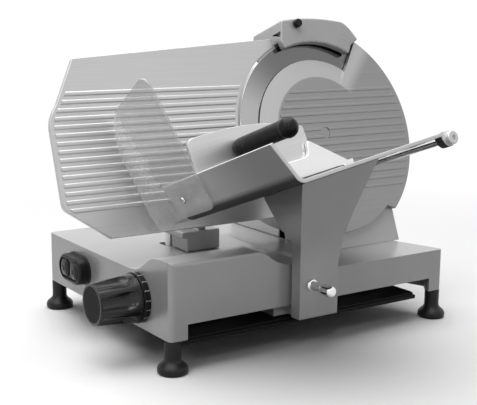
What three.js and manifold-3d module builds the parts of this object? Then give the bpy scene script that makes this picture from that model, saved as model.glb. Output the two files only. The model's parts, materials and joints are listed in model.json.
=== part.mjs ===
// Electric gravity feed slicer: a cast aluminium base carries an inclined blade with its gauge
// plate, a belt drive, a top mounted sharpener and a food carriage that slides along the front.
// Millimetres, +Z up. Base frame: x right along the front, y away from the operator's front side,
// z up, zero at the front left bottom corner of the casting. Head frame: the same x, leaned back
// with the blade, so that its xz plane is the cutting plane and -y points at the food. Tray frame:
// the head frame turned about the blade's spindle direction, with x along the tray's floor.
import * as THREE from "three";
import { mergeVertices } from "three/addons/utils/BufferGeometryUtils.js";
import Module from "manifold-3d";

const wasm = await Module();
wasm.setup();

const RIGHT_ANGLE = Math.PI / 2;
const DEGREE = Math.PI / 180;

// Clearances and cutting allowances shared by every piece
const SEAT_GAP = 0.3;
const RUN_GAP = 0.6;
const OVERRUN = 6;
const WELD = 1;

// Facets round a full turn, by how large the round thing is
const FINE_TURN = 46;
const MEDIUM_TURN = 24;
const SMALL_TURN = 12;
const PIN_TURN = 10;
const HALF_TURN = 14;

// Driving sizes
const BASE_LENGTH = 485;
const BASE_WIDTH = 371;
const BLADE_RADIUS = 150;
const BLADE_LEAN = 19.6 * DEGREE;
const BLADE_X = 356;
const BLADE_Y = 142;
const BLADE_Z = 234;
const TRAY_TILT = 10 * DEGREE;

const base = {
  wall: 5,
  topLeft: 76,
  topRight: 64,
  barTop: 105,
  barFlatDepth: 25,
  barFootDepth: 108,
  barFlatEnd: 127,
  barBend: 30,
  barStepEnd: 200,
  barStepTop: 78,
  fallEnd: 275,
  frontEdgeRound: 7,
  cornerRound: 8,
  slantRun: 38,
  slantDepth: 120,
  slotLeft: 27,
  slotRightMargin: 27,
  slotHeight: 21,
  footBossRadius: 13,
  footBossHeight: 22,
  plateThickness: 2,
  plateRightGap: 30,
  lipLeft: 14,
  lipRightMargin: 55,
  lipDrop: 6,
  lipDepth: 12,
};

const foot = {
  inset: 10,
  height: 44,
  neckRadius: 11,
  neckHeight: 25,
  flareRadius: 20.5,
  padRadius: 18.5,
  flareTop: 9.5,
  flareDrop: 2.5,
  studRadius: 4,
  studLength: 16,
  lipTurn: 3,
};

const switchBox = {
  y: 264,
  z: 42,
  width: 74,
  height: 40,
  depth: 18,
  flangeGrow: 3,
  flangeThickness: 3,
  neckDepth: 12,
  neckMargin: 5,
  pocketDepth: 11,
  buttonWidth: 25,
  buttonHeight: 26,
  buttonSpacing: 30,
  buttonRound: 9,
  buttonProud: 1.5,
  buttonRoot: 7,
};

const gland = { x: 70, z: 38, radius: 11, bodyLength: 14, neckRadius: 7.5, boreRadius: 4.5, nutLength: 6 };

const dial = {
  y: 82,
  z: 42,
  shaftRadius: 5,
  shaftOutside: 30,
  bossRadius: 12,
  bossLength: 12,
  ringRadius: 34.5,
  ringWidth: 9,
  gripRadius: 33,
  gripLength: 60,
  fluteCount: 6,
  fluteRadius: 13,
  fluteOffset: 37.5,
  fluteEnd: 5,
  flutePhase: 49 * DEGREE,
  capRadius: 28,
  capRound: 2,
};

const cam = {
  radius: 31.5,
  thickness: 9,
  x: 36,
  hubRadius: 10,
  grooveStart: 10,
  grooveDepth: 5,
  pinRadius: 3,
  turn: 330 * DEGREE,
  endRoom: 9 * DEGREE,
};

const gauge = {
  travel: 16,
  rodX: 136,
  rodZ: 46,
  rodRadius: 7,
  rodFront: 152,
  rodRear: 262,
  hangerThickness: 10,
  hangerWidth: 24,
  sliderFront: 178,
  sliderRear: 222,
  sliderLeft: 104,
  sliderRight: 150,
  sliderBottom: 32,
  sliderTop: 60,
  armHeight: 8,
  armThickness: 7,
  armDepth: 14,
  postX: 115,
  postY: 198,
  postRadius: 6,
  postTop: 113,
  postFoot: 44,
  bossRadius: 11,
  bossBottom: 101,
  blockLeft: 112,
  blockRight: 168,
  blockFront: 142,
  blockRear: 186,
  blockTop: 97,
  shelfTop: 106,
  ribWidth: 12,
  padWidth: 84,
  padBottom: -96,
  padTop: 24,
  padThickness: 6,
};

const plate = {
  thickness: 10,
  left: -445,
  leftTop: 32,
  shoulderX: -431,
  shoulderZ: 66,
  cornerX: -398,
  cornerZ: 128,
  topRightZ: 153,
  hornX: -62,
  leftBottom: -67,
  bendX: -440,
  bendZ: -77,
  bottomX: -383,
  bottomZ: -119,
  bladeGap: 3,
  ribPitch: 6.3,
  ribWidth: 4.4,
  ribHeight: 1.2,
  ribLow: -79,
  ribHigh: 84,
  ribMargin: 9,
  flangeWidth: 5,
};

const blade = {
  thickness: 5,
  bandRadius: 116,
  webFront: 8,
  webThickness: 3.5,
  dishRadius: 108,
  bevelRadius: 141,
  boreRadius: 20,
  edge: 0.5,
};

const cover = {
  front: 8,
  back: 1,
  discRadius: 117,
  rimFront: 2.6,
  plateauRadius: 88,
  guardRadius: 172,
  guardStart: 33 * DEGREE,
  guardEnd: 139 * DEGREE,
  skirtRadius: 157,
  skirtEnd: 196 * DEGREE,
  ribPitch: 12,
  ribWidth: 4.6,
  ribHeight: 1.2,
  ribLow: -96,
  ribHigh: 80,
  ribMargin: 7,
  pocketDepth: 3,
  pocketRadius: 100,
  nutRadius: 9,
  padRadius: 5,
  padTurnShares: [0.12, 0.5, 0.88],
};

const spindle = {
  radius: 12,
  boreRadius: 7,
  flangeRadius: 34,
  flangeThickness: 4,
  spigotProud: 3,
  tailRoom: 6,
};

const bearing = { outerRadius: 21, widthShare: 0.3125, frontAt: 26, pulleyGap: 3 };

const housing = {
  front: 18,
  plateThickness: 5,
  depth: 90,
  discRadius: 139,
  wall: 5,
  bossRadius: 27,
  bossLip: 1,
  beltRoom: 20,
  neckLeft: -38,
  neckRight: 113,
  rimInner: 153,
  rimFront: 0.6,
  coverThickness: 3,
  flareRight: 116,
};

const belt = {
  drivenRadius: 44,
  driverRadius: 15,
  motorX: 14,
  motorZ: -114,
  width: 14,
  thickness: 3,
  plane: housing.depth - housing.beltRoom,
  flangeRim: 5,
  flangeThickness: 2,
};

// The bearings share the room between the housing's front plate and the driven pulley
const pulleyFront = belt.plane - belt.width / 2 - belt.flangeThickness;
const bearingRoom = pulleyFront - bearing.pulleyGap - bearing.frontAt;
const bearingWidth = bearingRoom * bearing.widthShare;
const bearingRearAt = bearing.frontAt + bearingRoom - bearingWidth;
const bossEnd = bearingRearAt + bearingWidth - housing.bossLip;

const motor = {
  radius: 42,
  length: 84,
  shaftRadius: 7,
  gapBehindCover: 4,
  flangeRadius: 26,
  flangeThickness: 6,
  finCount: 9,
  finDepth: 2.5,
  finWidth: 5,
  bossRadius: 14,
};

const shroud = {
  left: 316,
  right: 430,
  front: 196,
  rear: 335,
  openingFront: 181,
  wall: 3,
  frontTop: 150,
  shoulderY: 240,
  shoulderTop: 138,
  rearTop: 92,
  roundTop: 14,
};

const capacitor = { radius: 17, length: 62, x: 210, y: 330 };

const tie = { radius: 5, boltHead: 8.5, boltHeadHeight: 2.6, knobRadius: 19, knobLength: 26, knobNeck: 10, lobes: 5 };

const sharpener = {
  front: 16,
  back: 64,
  arcRadius: 142,
  slotRadius: 155,
  slotFront: 4.5,
  slotBack: 6.5,
  leftTop: -50,
  leftSide: -57,
  sideFoot: 147,
  topZ: 181,
  topRightX: 62,
  topRightZ: 176,
  noseX: 88,
  noseZ: 157,
  tipX: 96,
  tipZ: 146,
  notchX: 80,
  notchZ: 137,
  wall: 4,
  postX: 30,
  postRadius: 6,
  postAt: 44,
  stoneRadius: 17,
  stoneThickness: 6,
  stoneBore: 4,
  spindleRadius: 3.7,
  grindAngle: -11 * DEGREE,
  deburrAngle: 24 * DEGREE,
  stoneCentre: 160,
  pressStroke: 3.8,
  pullStroke: 4.2,
  restGap: 1.5,
  buttonRadius: 7,
  buttonLength: 9,
  knobX: -23,
  knobZ: 171,
  knobRadius: 6.5,
  knobProud: 8,
  knobStem: 2.6,
  knobStemLength: 7,
};

const rail = {
  rodY: 32,
  rodZ: 38,
  rodRadius: 10,
  bushWall: 3,
  bushLength: 22,
  barY: 58,
  barZ: 10,
  barSide: 8,
  endBossLength: 12,
  endBossRadius: 14,
  rightEnd: 458,
  blockLeft: 174,
  blockRight: 274,
  blockFront: 14,
  blockRear: 50,
  blockBottom: 4,
  blockTop: 56,
  tongueLeft: 200,
  tongueRight: 247,
  tongueTop: 17,
  rollerRadius: 6,
  rollerWidth: 7,
  rollerPinRadius: 2.5,
};

const carriage = {
  left: 190,
  right: 257,
  front: -24,
  rear: -4,
  foot: 5,
  shoulder: 79,
  plateThickness: 9,
  webThickness: 8,
  flareTopX: 326,
  flareTopZ: 221,
  flareMidX: 281.5,
  flareMidZ: 147,
  curveEase: 5,
  webRearTop: 64,
  webRearTopZ: 160,
  webMid: 22,
  webMidZ: 122,
  webHeelZ: 107,
  padThickness: 6,
  padLeft: 117,
  padRight: 236,
  padFront: -141,
  padRear: -62,
  footRound: 9,
};

const lock = { x: 207, z: 54, stemRadius: 5, stemLength: 20, headRadius: 8, headLength: 22, rootRadius: 9, rootLength: 6, tail: 14 };

const tray = {
  cornerX: -280,
  cornerZ: -112.5,
  floorThickness: 5,
  floorRight: 254,
  wallLean: 15 * DEGREE,
  wallHeight: 57,
  bendRadius: 15,
  near: 12,
  far: 276,
  bossX: 265,
  bossRadius: 10.5,
  bossDrop: 5.2,
  nearBossLength: 9,
  farBossLength: 14,
};

const guard = {
  thickness: 3,
  near: 10,
  bendRadius: 9,
  bottom: 7,
  reach: 105,
  top: 197,
  topReach: 126,
  topRound: 16,
  foldTop: 176,
  wing: 38,
  wingKneeHeight: 100,
  wingKnee: 31,
  wingCorner: 10,
  screwHeight: 32,
  screwNear: 51,
};

const guardScrew = { radius: 6.5, length: 4, stemRadius: 2.6, stemLength: 6 };

const pusher = {
  plateAt: 60,
  plateThickness: 6,
  left: 12,
  right: 210,
  floorGap: 6,
  topLeft: 105,
  topMid: 103,
  topRight: 81,
  cornerRound: 14,
  toothDepth: 4.5,
  toothPitch: 9,
  toothMargin: 10,
  rodRadius: 5,
  sleeveRadius: 9.3,
  sleeveLength: 50,
  armThickness: 7,
  armLift: 0.7,
  armHeight: 6,
  gussetLeft: 203,
  gussetHeight: 58,
  gussetFootX: 254,
  gussetFootHeight: 20,
  lapLeft: 150,
  lapHeight: 34,
  bushWall: 1.8,
};

const handle = {
  x: 90,
  z: 74,
  radius: 13,
  neckRadius: 11,
  length: 118,
  ballRadius: 14,
  stemRadius: 4,
  stemDepth: 4,
};

const rodNut = { radius: 9, length: 8 };

// Materials: colour, roughness and metalness of each finish
function finish(color, roughness, metalness) {
  return new THREE.MeshStandardMaterial({ color, roughness, metalness });
}

const castAluminium = finish(0xb9bcbf, 0.45, 0.85);
const brushedAluminium = finish(0xc6c9cc, 0.32, 0.9);
const polishedSteel = finish(0xd6d8da, 0.18, 1);
const hardenedSteel = finish(0x8e9195, 0.22, 1);
const blackPlastic = finish(0x17181a, 0.4, 0);
const blackRubber = finish(0x131415, 0.8, 0);
const paintedSheet = finish(0x1c1d1f, 0.55, 0.3);
const clearPlastic = new THREE.MeshStandardMaterial({
  color: 0xe8eef0,
  roughness: 0.08,
  metalness: 0,
  transparent: true,
  opacity: 0.35,
});
const greenPlastic = finish(0x2c3a33, 0.45, 0);
const abrasive = finish(0x7c766c, 0.95, 0);
const bronze = finish(0xa9793f, 0.4, 0.8);
const paintedMotor = finish(0x4b5157, 0.5, 0.4);

// Solids: three.js geometry in, three.js geometry out
function solidOf(geometry) {
  const plain = geometry.index ? geometry.toNonIndexed() : geometry.clone();
  for (const name of Object.keys(plain.attributes)) {
    if (name !== "position") plain.deleteAttribute(name);
  }
  const merged = mergeVertices(plain, 1e-4);
  const source = merged.index.array;
  const triangles = [];
  for (let i = 0; i < source.length; i += 3) {
    const [a, b, c] = [source[i], source[i + 1], source[i + 2]];
    if (a !== b && b !== c && c !== a) triangles.push(a, b, c);
  }
  const points = merged.attributes.position.array;
  const build = (order) =>
    new wasm.Manifold(
      new wasm.Mesh({ numProp: 3, vertProperties: points, triVerts: new Uint32Array(order) }),
    );
  const made = build(triangles);
  if (made.volume() >= 0) return made;
  const turned = [];
  for (let i = 0; i < triangles.length; i += 3) {
    turned.push(triangles[i], triangles[i + 2], triangles[i + 1]);
  }
  return build(turned);
}

function geometryOf(solid) {
  const mesh = solid.getMesh();
  const points = new Float32Array(mesh.numVert * 3);
  for (let i = 0; i < mesh.numVert; i += 1) {
    points.set(mesh.vertProperties.subarray(i * mesh.numProp, i * mesh.numProp + 3), i * 3);
  }
  const geometry = new THREE.BufferGeometry();
  geometry.setAttribute("position", new THREE.BufferAttribute(points, 3));
  geometry.setIndex(new THREE.BufferAttribute(new Uint32Array(mesh.triVerts), 1));
  geometry.computeVertexNormals();
  return geometry;
}

function join(first, ...others) {
  return geometryOf(others.reduce((sum, next) => sum.add(solidOf(next)), solidOf(first)));
}

function cut(first, ...others) {
  return geometryOf(others.reduce((sum, next) => sum.subtract(solidOf(next)), solidOf(first)));
}

function common(first, ...others) {
  return geometryOf(others.reduce((sum, next) => sum.intersect(solidOf(next)), solidOf(first)));
}

// A box between two corners
function block(x0, x1, y0, y1, z0, z1) {
  const box = new THREE.BoxGeometry(x1 - x0, y1 - y0, z1 - z0);
  return box.translate((x0 + x1) / 2, (y0 + y1) / 2, (z0 + z1) / 2);
}

// An outline drawn in plane "xy", "xz" or "yz", run between two levels of the third axis
function slab(plane, shape, from, to, curveSegments = 4) {
  const settings = { depth: to - from, bevelEnabled: false, curveSegments };
  const geometry = new THREE.ExtrudeGeometry(shape, settings);
  if (plane === "xy") return geometry.translate(0, 0, from);
  if (plane === "xz") return geometry.rotateX(RIGHT_ANGLE).translate(0, to, 0);
  const turn = new THREE.Matrix4().set(0, 0, 1, from, 1, 0, 0, 0, 0, 1, 0, 0, 0, 0, 0, 1);
  return geometry.applyMatrix4(turn);
}

// A profile of [radius, level] pairs turned about an axis through a point of the other two axes
function turned(axis, profile, segments, centre = [0, 0]) {
  const points = profile.map(([radius, level]) => new THREE.Vector2(radius, level));
  if (THREE.ShapeUtils.area(points) < 0) points.reverse();
  const geometry = new THREE.LatheGeometry(points, segments);
  if (axis === "x") return geometry.rotateZ(-RIGHT_ANGLE).translate(0, centre[0], centre[1]);
  if (axis === "y") return geometry.translate(centre[0], 0, centre[1]);
  return geometry.rotateX(RIGHT_ANGLE).translate(centre[0], centre[1], 0);
}

function cylinder(axis, radius, from, to, centre, segments = SMALL_TURN) {
  const profile = [[0, from], [radius, from], [radius, to], [0, to]];
  return turned(axis, profile, segments, centre);
}

function tube(axis, outer, inner, from, to, centre, segments = SMALL_TURN) {
  const profile = [[inner, from], [outer, from], [outer, to], [inner, to], [inner, from]];
  return turned(axis, profile, segments, centre);
}

function polygon(points) {
  return new THREE.Shape(points.map(([a, b]) => new THREE.Vector2(a, b)));
}

function roundedRectangle(x0, y0, x1, y1, r) {
  const shape = new THREE.Shape();
  shape.moveTo(x0 + r, y0);
  shape.lineTo(x1 - r, y0);
  shape.absarc(x1 - r, y0 + r, r, -RIGHT_ANGLE, 0, false);
  shape.lineTo(x1, y1 - r);
  shape.absarc(x1 - r, y1 - r, r, 0, RIGHT_ANGLE, false);
  shape.lineTo(x0 + r, y1);
  shape.absarc(x0 + r, y1 - r, r, RIGHT_ANGLE, 2 * RIGHT_ANGLE, false);
  shape.lineTo(x0, y0 + r);
  shape.absarc(x0 + r, y0 + r, r, 2 * RIGHT_ANGLE, 3 * RIGHT_ANGLE, false);
  return shape;
}

// A polygon whose corners, but for those given as sharp, are rounded to one radius
function softPolygon(points, radius, sharp = []) {
  const shape = new THREE.Shape();
  const corner = points.map((point) => new THREE.Vector2(...point));
  corner.forEach((here, i) => {
    const before = corner[(i + corner.length - 1) % corner.length];
    const after = corner[(i + 1) % corner.length];
    const limit = Math.min(here.distanceTo(before), here.distanceTo(after)) / 2;
    const reach = sharp.includes(i) ? 0 : Math.min(radius, limit);
    const start = here.clone().add(before.clone().sub(here).setLength(reach));
    const end = here.clone().add(after.clone().sub(here).setLength(reach));
    if (i === 0) shape.moveTo(start.x, start.y);
    else shape.lineTo(start.x, start.y);
    if (reach > 0) shape.quadraticCurveTo(here.x, here.y, end.x, end.y);
  });
  return shape;
}

// Frames
const slicer = new THREE.Group();
slicer.name = "gravity_feed_slicer";
const headFrame = new THREE.Group();
headFrame.position.set(BLADE_X, BLADE_Y, BLADE_Z);
headFrame.rotation.x = -BLADE_LEAN;
slicer.add(headFrame);
const trayFrame = new THREE.Group();
trayFrame.position.set(tray.cornerX, 0, tray.cornerZ);
trayFrame.rotation.y = -TRAY_TILT;
headFrame.add(trayFrame);
slicer.updateMatrixWorld(true);
const headToBase = headFrame.matrixWorld.clone();
const baseToHead = headToBase.clone().invert();
const trayToBase = trayFrame.matrixWorld.clone();

function moved(geometry, matrix) {
  return geometry.clone().applyMatrix4(matrix);
}

function headPoint(x, y, z) {
  return new THREE.Vector3(x, y, z).applyMatrix4(headToBase);
}

function add(frame, name, geometry, material) {
  const mesh = new THREE.Mesh(geometry, material);
  mesh.name = name;
  frame.add(mesh);
}

// Base casting: the end profile along x, cut down by the front profile along y
function endProfile(inset) {
  const top = base.barTop - inset;
  const low = base.topLeft - inset;
  const middle = (base.barFlatDepth + base.barFootDepth) / 2;
  const round = base.frontEdgeRound;
  const floor = inset > 0 ? -OVERRUN : 0;
  const shape = new THREE.Shape();
  shape.moveTo(inset, floor);
  shape.lineTo(BASE_WIDTH - inset, floor);
  shape.lineTo(BASE_WIDTH - inset, low);
  shape.lineTo(base.barFootDepth, low);
  shape.bezierCurveTo(middle, low, middle, top, base.barFlatDepth, top);
  shape.lineTo(inset + round, top);
  shape.quadraticCurveTo(inset, top, inset, top - round);
  return shape;
}

function frontProfile(inset) {
  const top = base.barTop - inset;
  const step = base.barStepTop - inset;
  const low = base.topRight - inset;
  const right = BASE_LENGTH - inset;
  const floor = inset > 0 ? -OVERRUN : 0;
  const fallMiddle = (base.barStepEnd + base.fallEnd) / 2;
  const shape = new THREE.Shape();
  shape.moveTo(inset, floor);
  shape.lineTo(right, floor);
  shape.lineTo(right, low);
  shape.lineTo(base.fallEnd, low);
  shape.bezierCurveTo(fallMiddle, low, fallMiddle, step, base.barStepEnd, step);
  const bendStart = base.barFlatEnd + base.barBend;
  shape.bezierCurveTo(bendStart, step, bendStart, top, base.barFlatEnd, top);
  shape.lineTo(inset, top);
  return shape;
}

function planOutline(inset) {
  const right = BASE_LENGTH - inset;
  const back = BASE_WIDTH - inset;
  const corners = [
    [inset, inset],
    [right, inset],
    [right - base.slantRun, base.slantDepth],
    [right - base.slantRun, back],
    [inset, back],
  ];
  return softPolygon(corners, base.cornerRound);
}

function baseBody(inset, curveSegments) {
  const run = slab("yz", endProfile(inset), inset, BASE_LENGTH - inset, curveSegments);
  const depth = slab("xz", frontProfile(inset), inset, BASE_WIDTH - inset, curveSegments);
  const plan = slab("xy", planOutline(inset), -OVERRUN, base.barTop + OVERRUN, curveSegments / 2);
  return common(run, depth, plan);
}

const footCentres = [
  ["front_left", foot.inset, foot.inset],
  ["front_right", BASE_LENGTH - foot.inset, foot.inset],
  ["rear_left", foot.inset, BASE_WIDTH - foot.inset],
  ["rear_right", BASE_LENGTH - base.slantRun - foot.inset, BASE_WIDTH - foot.inset],
];

function buildBase() {
  const outer = baseBody(0, 6);
  let shell = cut(outer, baseBody(base.wall, 2));
  const bosses = footCentres.map(([, x, y]) =>
    cylinder("z", base.footBossRadius, 0, base.footBossHeight, [x, y], PIN_TURN),
  );
  const rodEnds = [
    cylinder("x", rail.endBossRadius, 0, rail.endBossLength, [rail.rodY, rail.rodZ]),
    cylinder("x", rail.endBossRadius, rail.rightEnd, BASE_LENGTH, [rail.rodY, rail.rodZ]),
    cylinder("x", dial.bossRadius, 0, dial.bossLength, [dial.y, dial.z]),
  ];
  const barHalf = rail.barSide / 2;
  const lug = rail.barSide;
  const barEnds = [
    block(0, rail.endBossLength, rail.barY - lug, rail.barY + lug, base.plateThickness + WELD, rail.barZ + lug),
    block(rail.rightEnd, BASE_LENGTH, rail.barY - lug, rail.barY + lug, base.plateThickness + WELD, rail.barZ + lug),
  ];
  const hangerHalf = gauge.hangerWidth / 2;
  const hangers = [gauge.rodFront, gauge.rodRear - gauge.hangerThickness].map((y) =>
    block(
      gauge.rodX - hangerHalf,
      gauge.rodX + hangerHalf,
      y,
      y + gauge.hangerThickness,
      gauge.rodZ - hangerHalf,
      base.topLeft - WELD,
    ),
  );
  const inside = common(outer, join(bosses[0], ...bosses.slice(1), ...rodEnds, ...barEnds, ...hangers));
  shell = join(shell, inside);
  const studHole = foot.studRadius + SEAT_GAP;
  const cutters = footCentres.map(([, x, y]) =>
    cylinder("z", studHole, -OVERRUN, foot.studLength + WELD, [x, y], PIN_TURN),
  );
  const slotRight = BASE_LENGTH - base.slotRightMargin;
  cutters.push(block(base.slotLeft, slotRight, -OVERRUN, base.wall + OVERRUN, -OVERRUN, base.slotHeight));
  const rodHole = rail.rodRadius + SEAT_GAP;
  const rodCentre = [rail.rodY, rail.rodZ];
  cutters.push(cylinder("x", rodHole, base.wall, rail.rightEnd + base.wall, rodCentre));
  cutters.push(
    block(
      base.wall,
      rail.rightEnd + base.wall,
      rail.barY - barHalf - SEAT_GAP,
      rail.barY + barHalf + SEAT_GAP,
      rail.barZ - barHalf - SEAT_GAP,
      rail.barZ + barHalf + SEAT_GAP,
    ),
  );
  cutters.push(cylinder("x", dial.shaftRadius + SEAT_GAP, -OVERRUN, dial.bossLength + OVERRUN, [dial.y, dial.z]));
  const neck = switchBox.neckMargin;
  cutters.push(
    slab(
      "yz",
      roundedRectangle(
        switchBox.y - switchBox.width / 2 + neck,
        switchBox.z - switchBox.height / 2 + neck,
        switchBox.y + switchBox.width / 2 - neck,
        switchBox.z + switchBox.height / 2 - neck,
        switchBox.height / 2 - neck,
      ),
      -OVERRUN,
      base.wall + OVERRUN,
      3,
    ),
  );
  const slotHalf = gauge.postRadius + RUN_GAP;
  cutters.push(
    slab(
      "xy",
      roundedRectangle(
        gauge.postX - slotHalf,
        gauge.postY - slotHalf,
        gauge.postX + slotHalf,
        gauge.postY + slotHalf + gauge.travel,
        slotHalf - SEAT_GAP,
      ),
      gauge.sliderTop,
      base.topLeft + OVERRUN,
      2,
    ),
  );
  cutters.push(
    cylinder("y", gauge.rodRadius + SEAT_GAP, gauge.rodFront - OVERRUN, gauge.rodRear + OVERRUN, [
      gauge.rodX,
      gauge.rodZ,
    ]),
  );
  cutters.push(
    block(
      shroud.left + shroud.wall,
      shroud.right - shroud.wall,
      shroud.openingFront,
      shroud.rear - shroud.wall,
      base.topRight - base.wall - OVERRUN,
      base.topLeft + OVERRUN,
    ),
  );
  cutters.push(
    cylinder("y", gland.neckRadius + SEAT_GAP, BASE_WIDTH - base.wall - OVERRUN, BASE_WIDTH + OVERRUN, [
      gland.x,
      gland.z,
    ]),
  );
  return cut(shell, ...cutters);
}

function buildBottomPlate() {
  const inset = base.wall + SEAT_GAP;
  const right = BASE_LENGTH - base.slantRun - base.plateRightGap / 2;
  const outline = softPolygon(
    [[inset, inset], [right, inset], [right, BASE_WIDTH - inset], [inset, BASE_WIDTH - inset]],
    base.cornerRound,
  );
  const sheet = slab("xy", outline, 0, base.plateThickness, 4);
  const clear = base.footBossRadius + RUN_GAP;
  const notches = footCentres.map(([, x, y]) =>
    cylinder("z", clear, -OVERRUN, base.plateThickness + OVERRUN, [x, y]),
  );
  const under = -SEAT_GAP - base.plateThickness;
  const lipRight = BASE_LENGTH - base.lipRightMargin;
  const lip = join(
    block(base.lipLeft, lipRight, 0, base.plateThickness, -base.lipDrop, -SEAT_GAP),
    block(base.lipLeft, lipRight, 0, base.lipDepth, under, -SEAT_GAP),
    block(base.lipLeft, lipRight, inset, base.lipDepth, under, base.plateThickness),
  );
  return cut(join(sheet, lip), ...notches);
}

function buildFoot(x, y) {
  const neckEnd = -foot.neckHeight;
  const profile = [
    [0, foot.studLength],
    [foot.studRadius, foot.studLength],
    [foot.studRadius, -SEAT_GAP],
    [foot.neckRadius, -SEAT_GAP],
    [foot.neckRadius, neckEnd],
    [(foot.neckRadius + foot.flareRadius) / 2, neckEnd - foot.lipTurn],
    [foot.flareRadius, -foot.height + foot.flareTop],
    [foot.flareRadius, -foot.height + foot.flareDrop],
    [foot.padRadius, -foot.height],
    [0, -foot.height],
  ];
  return turned("z", profile, SMALL_TURN, [x, y]);
}

// Switch on the left end: a stadium shaped rubber booted box with two push buttons
function stadium(grow) {
  const halfWidth = switchBox.width / 2 + grow;
  const halfHeight = switchBox.height / 2 + grow;
  return roundedRectangle(
    switchBox.y - halfWidth,
    switchBox.z - halfHeight,
    switchBox.y + halfWidth,
    switchBox.z + halfHeight,
    halfHeight - SEAT_GAP,
  );
}

function buttonOutline(side, grow) {
  const centre = switchBox.y + (side * switchBox.buttonSpacing) / 2;
  const halfWidth = switchBox.buttonWidth / 2 + grow;
  const halfHeight = switchBox.buttonHeight / 2 + grow;
  return roundedRectangle(
    centre - halfWidth,
    switchBox.z - halfHeight,
    centre + halfWidth,
    switchBox.z + halfHeight,
    switchBox.buttonRound + grow,
  );
}

function buildSwitchBox() {
  const outside = -switchBox.depth;
  const body = join(
    slab("yz", stadium(0), outside, -SEAT_GAP, 3),
    slab("yz", stadium(switchBox.flangeGrow), -switchBox.flangeThickness, -SEAT_GAP, 3),
    slab("yz", stadium(-switchBox.neckMargin - SEAT_GAP), -WELD, switchBox.neckDepth, 2),
  );
  const pockets = [-1, 1].map((side) =>
    slab("yz", buttonOutline(side, SEAT_GAP), outside - OVERRUN, outside + switchBox.pocketDepth, 2),
  );
  return cut(body, ...pockets);
}

function buildButton(side) {
  const outside = -switchBox.depth;
  const face = slab("yz", buttonOutline(side, 0), outside - switchBox.buttonProud, outside + switchBox.buttonRoot, 2);
  return face;
}

function buildGland() {
  const outer = BASE_WIDTH + SEAT_GAP;
  const inner = BASE_WIDTH - base.wall - SEAT_GAP;
  const profile = [
    [gland.boreRadius, inner - gland.nutLength],
    [gland.neckRadius, inner - gland.nutLength],
    [gland.neckRadius, outer],
    [gland.radius, outer],
    [gland.radius, outer + gland.bodyLength / 2],
    [gland.neckRadius, outer + gland.bodyLength],
    [gland.boreRadius, outer + gland.bodyLength],
    [gland.boreRadius, inner - gland.nutLength],
  ];
  return turned("y", profile, SMALL_TURN, [gland.x, gland.z]);
}

// Thickness dial: fluted grip, numbered ring and the shaft to the scroll cam
function buildDialGrip() {
  const inner = -dial.ringWidth - SEAT_GAP * 2;
  const capEnd = inner - dial.gripLength;
  const body = turned(
    "x",
    [
      [0, capEnd],
      [dial.capRadius - dial.capRound, capEnd],
      [dial.capRadius, capEnd + dial.capRound],
      [dial.gripRadius, inner],
      [0, inner],
    ],
    MEDIUM_TURN,
    [dial.y, dial.z],
  );
  const step = (4 * RIGHT_ANGLE) / dial.fluteCount;
  const flutes = Array.from({ length: dial.fluteCount }, (_, i) => {
    const angle = dial.flutePhase + i * step;
    const centre = [dial.y + dial.fluteOffset * Math.cos(angle), dial.z + dial.fluteOffset * Math.sin(angle)];
    return cylinder("x", dial.fluteRadius, capEnd + dial.capRound, inner - dial.fluteEnd, centre, SMALL_TURN);
  });
  const socket = cylinder("x", dial.shaftRadius + SEAT_GAP, inner - dial.shaftOutside, inner + OVERRUN, [
    dial.y,
    dial.z,
  ]);
  return cut(body, ...flutes, socket);
}

function buildScaleRing() {
  return tube("x", dial.ringRadius, dial.shaftRadius + SEAT_GAP, -dial.ringWidth - SEAT_GAP, -SEAT_GAP, [
    dial.y,
    dial.z,
  ], MEDIUM_TURN);
}

function buildDialShaft() {
  const outer = -dial.ringWidth - SEAT_GAP * 2 - dial.shaftOutside + WELD;
  return cylinder("x", dial.shaftRadius, outer, cam.x + cam.thickness, [dial.y, dial.z]);
}

// The cam's groove spirals in as the dial turns, so its pin is pushed away from the shaft
function spiralPoint(turn, offset) {
  const rise = gauge.travel / cam.turn;
  const bounded = Math.min(Math.max(turn, 0), cam.turn);
  const radius = cam.grooveStart + rise * bounded + offset;
  return [dial.y + radius * Math.cos(-turn), dial.z + radius * Math.sin(-turn)];
}

function buildCam() {
  const face = cam.x + cam.thickness;
  const half = cam.pinRadius + RUN_GAP;
  const steps = MEDIUM_TURN;
  const from = -cam.endRoom;
  const span = cam.turn + 2 * cam.endRoom;
  const outerEdge = [];
  const innerEdge = [];
  for (let i = 0; i <= steps; i += 1) {
    const turn = from + (span * i) / steps;
    outerEdge.push(spiralPoint(turn, half));
    innerEdge.unshift(spiralPoint(turn, -half));
  }
  const groove = slab("yz", polygon([...outerEdge, ...innerEdge]), face - cam.grooveDepth, face + OVERRUN);
  const ends = [0, cam.turn].map((turn) =>
    cylinder("x", half, face - cam.grooveDepth, face + OVERRUN, spiralPoint(turn, 0), PIN_TURN),
  );
  const disc = tube("x", cam.radius, dial.shaftRadius + SEAT_GAP, cam.x, face, [dial.y, dial.z], MEDIUM_TURN);
  const hub = tube("x", cam.hubRadius, dial.shaftRadius + SEAT_GAP, cam.x - cam.thickness, cam.x + WELD, [
    dial.y,
    dial.z,
  ]);
  return cut(join(disc, hub), groove, ...ends);
}

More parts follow.
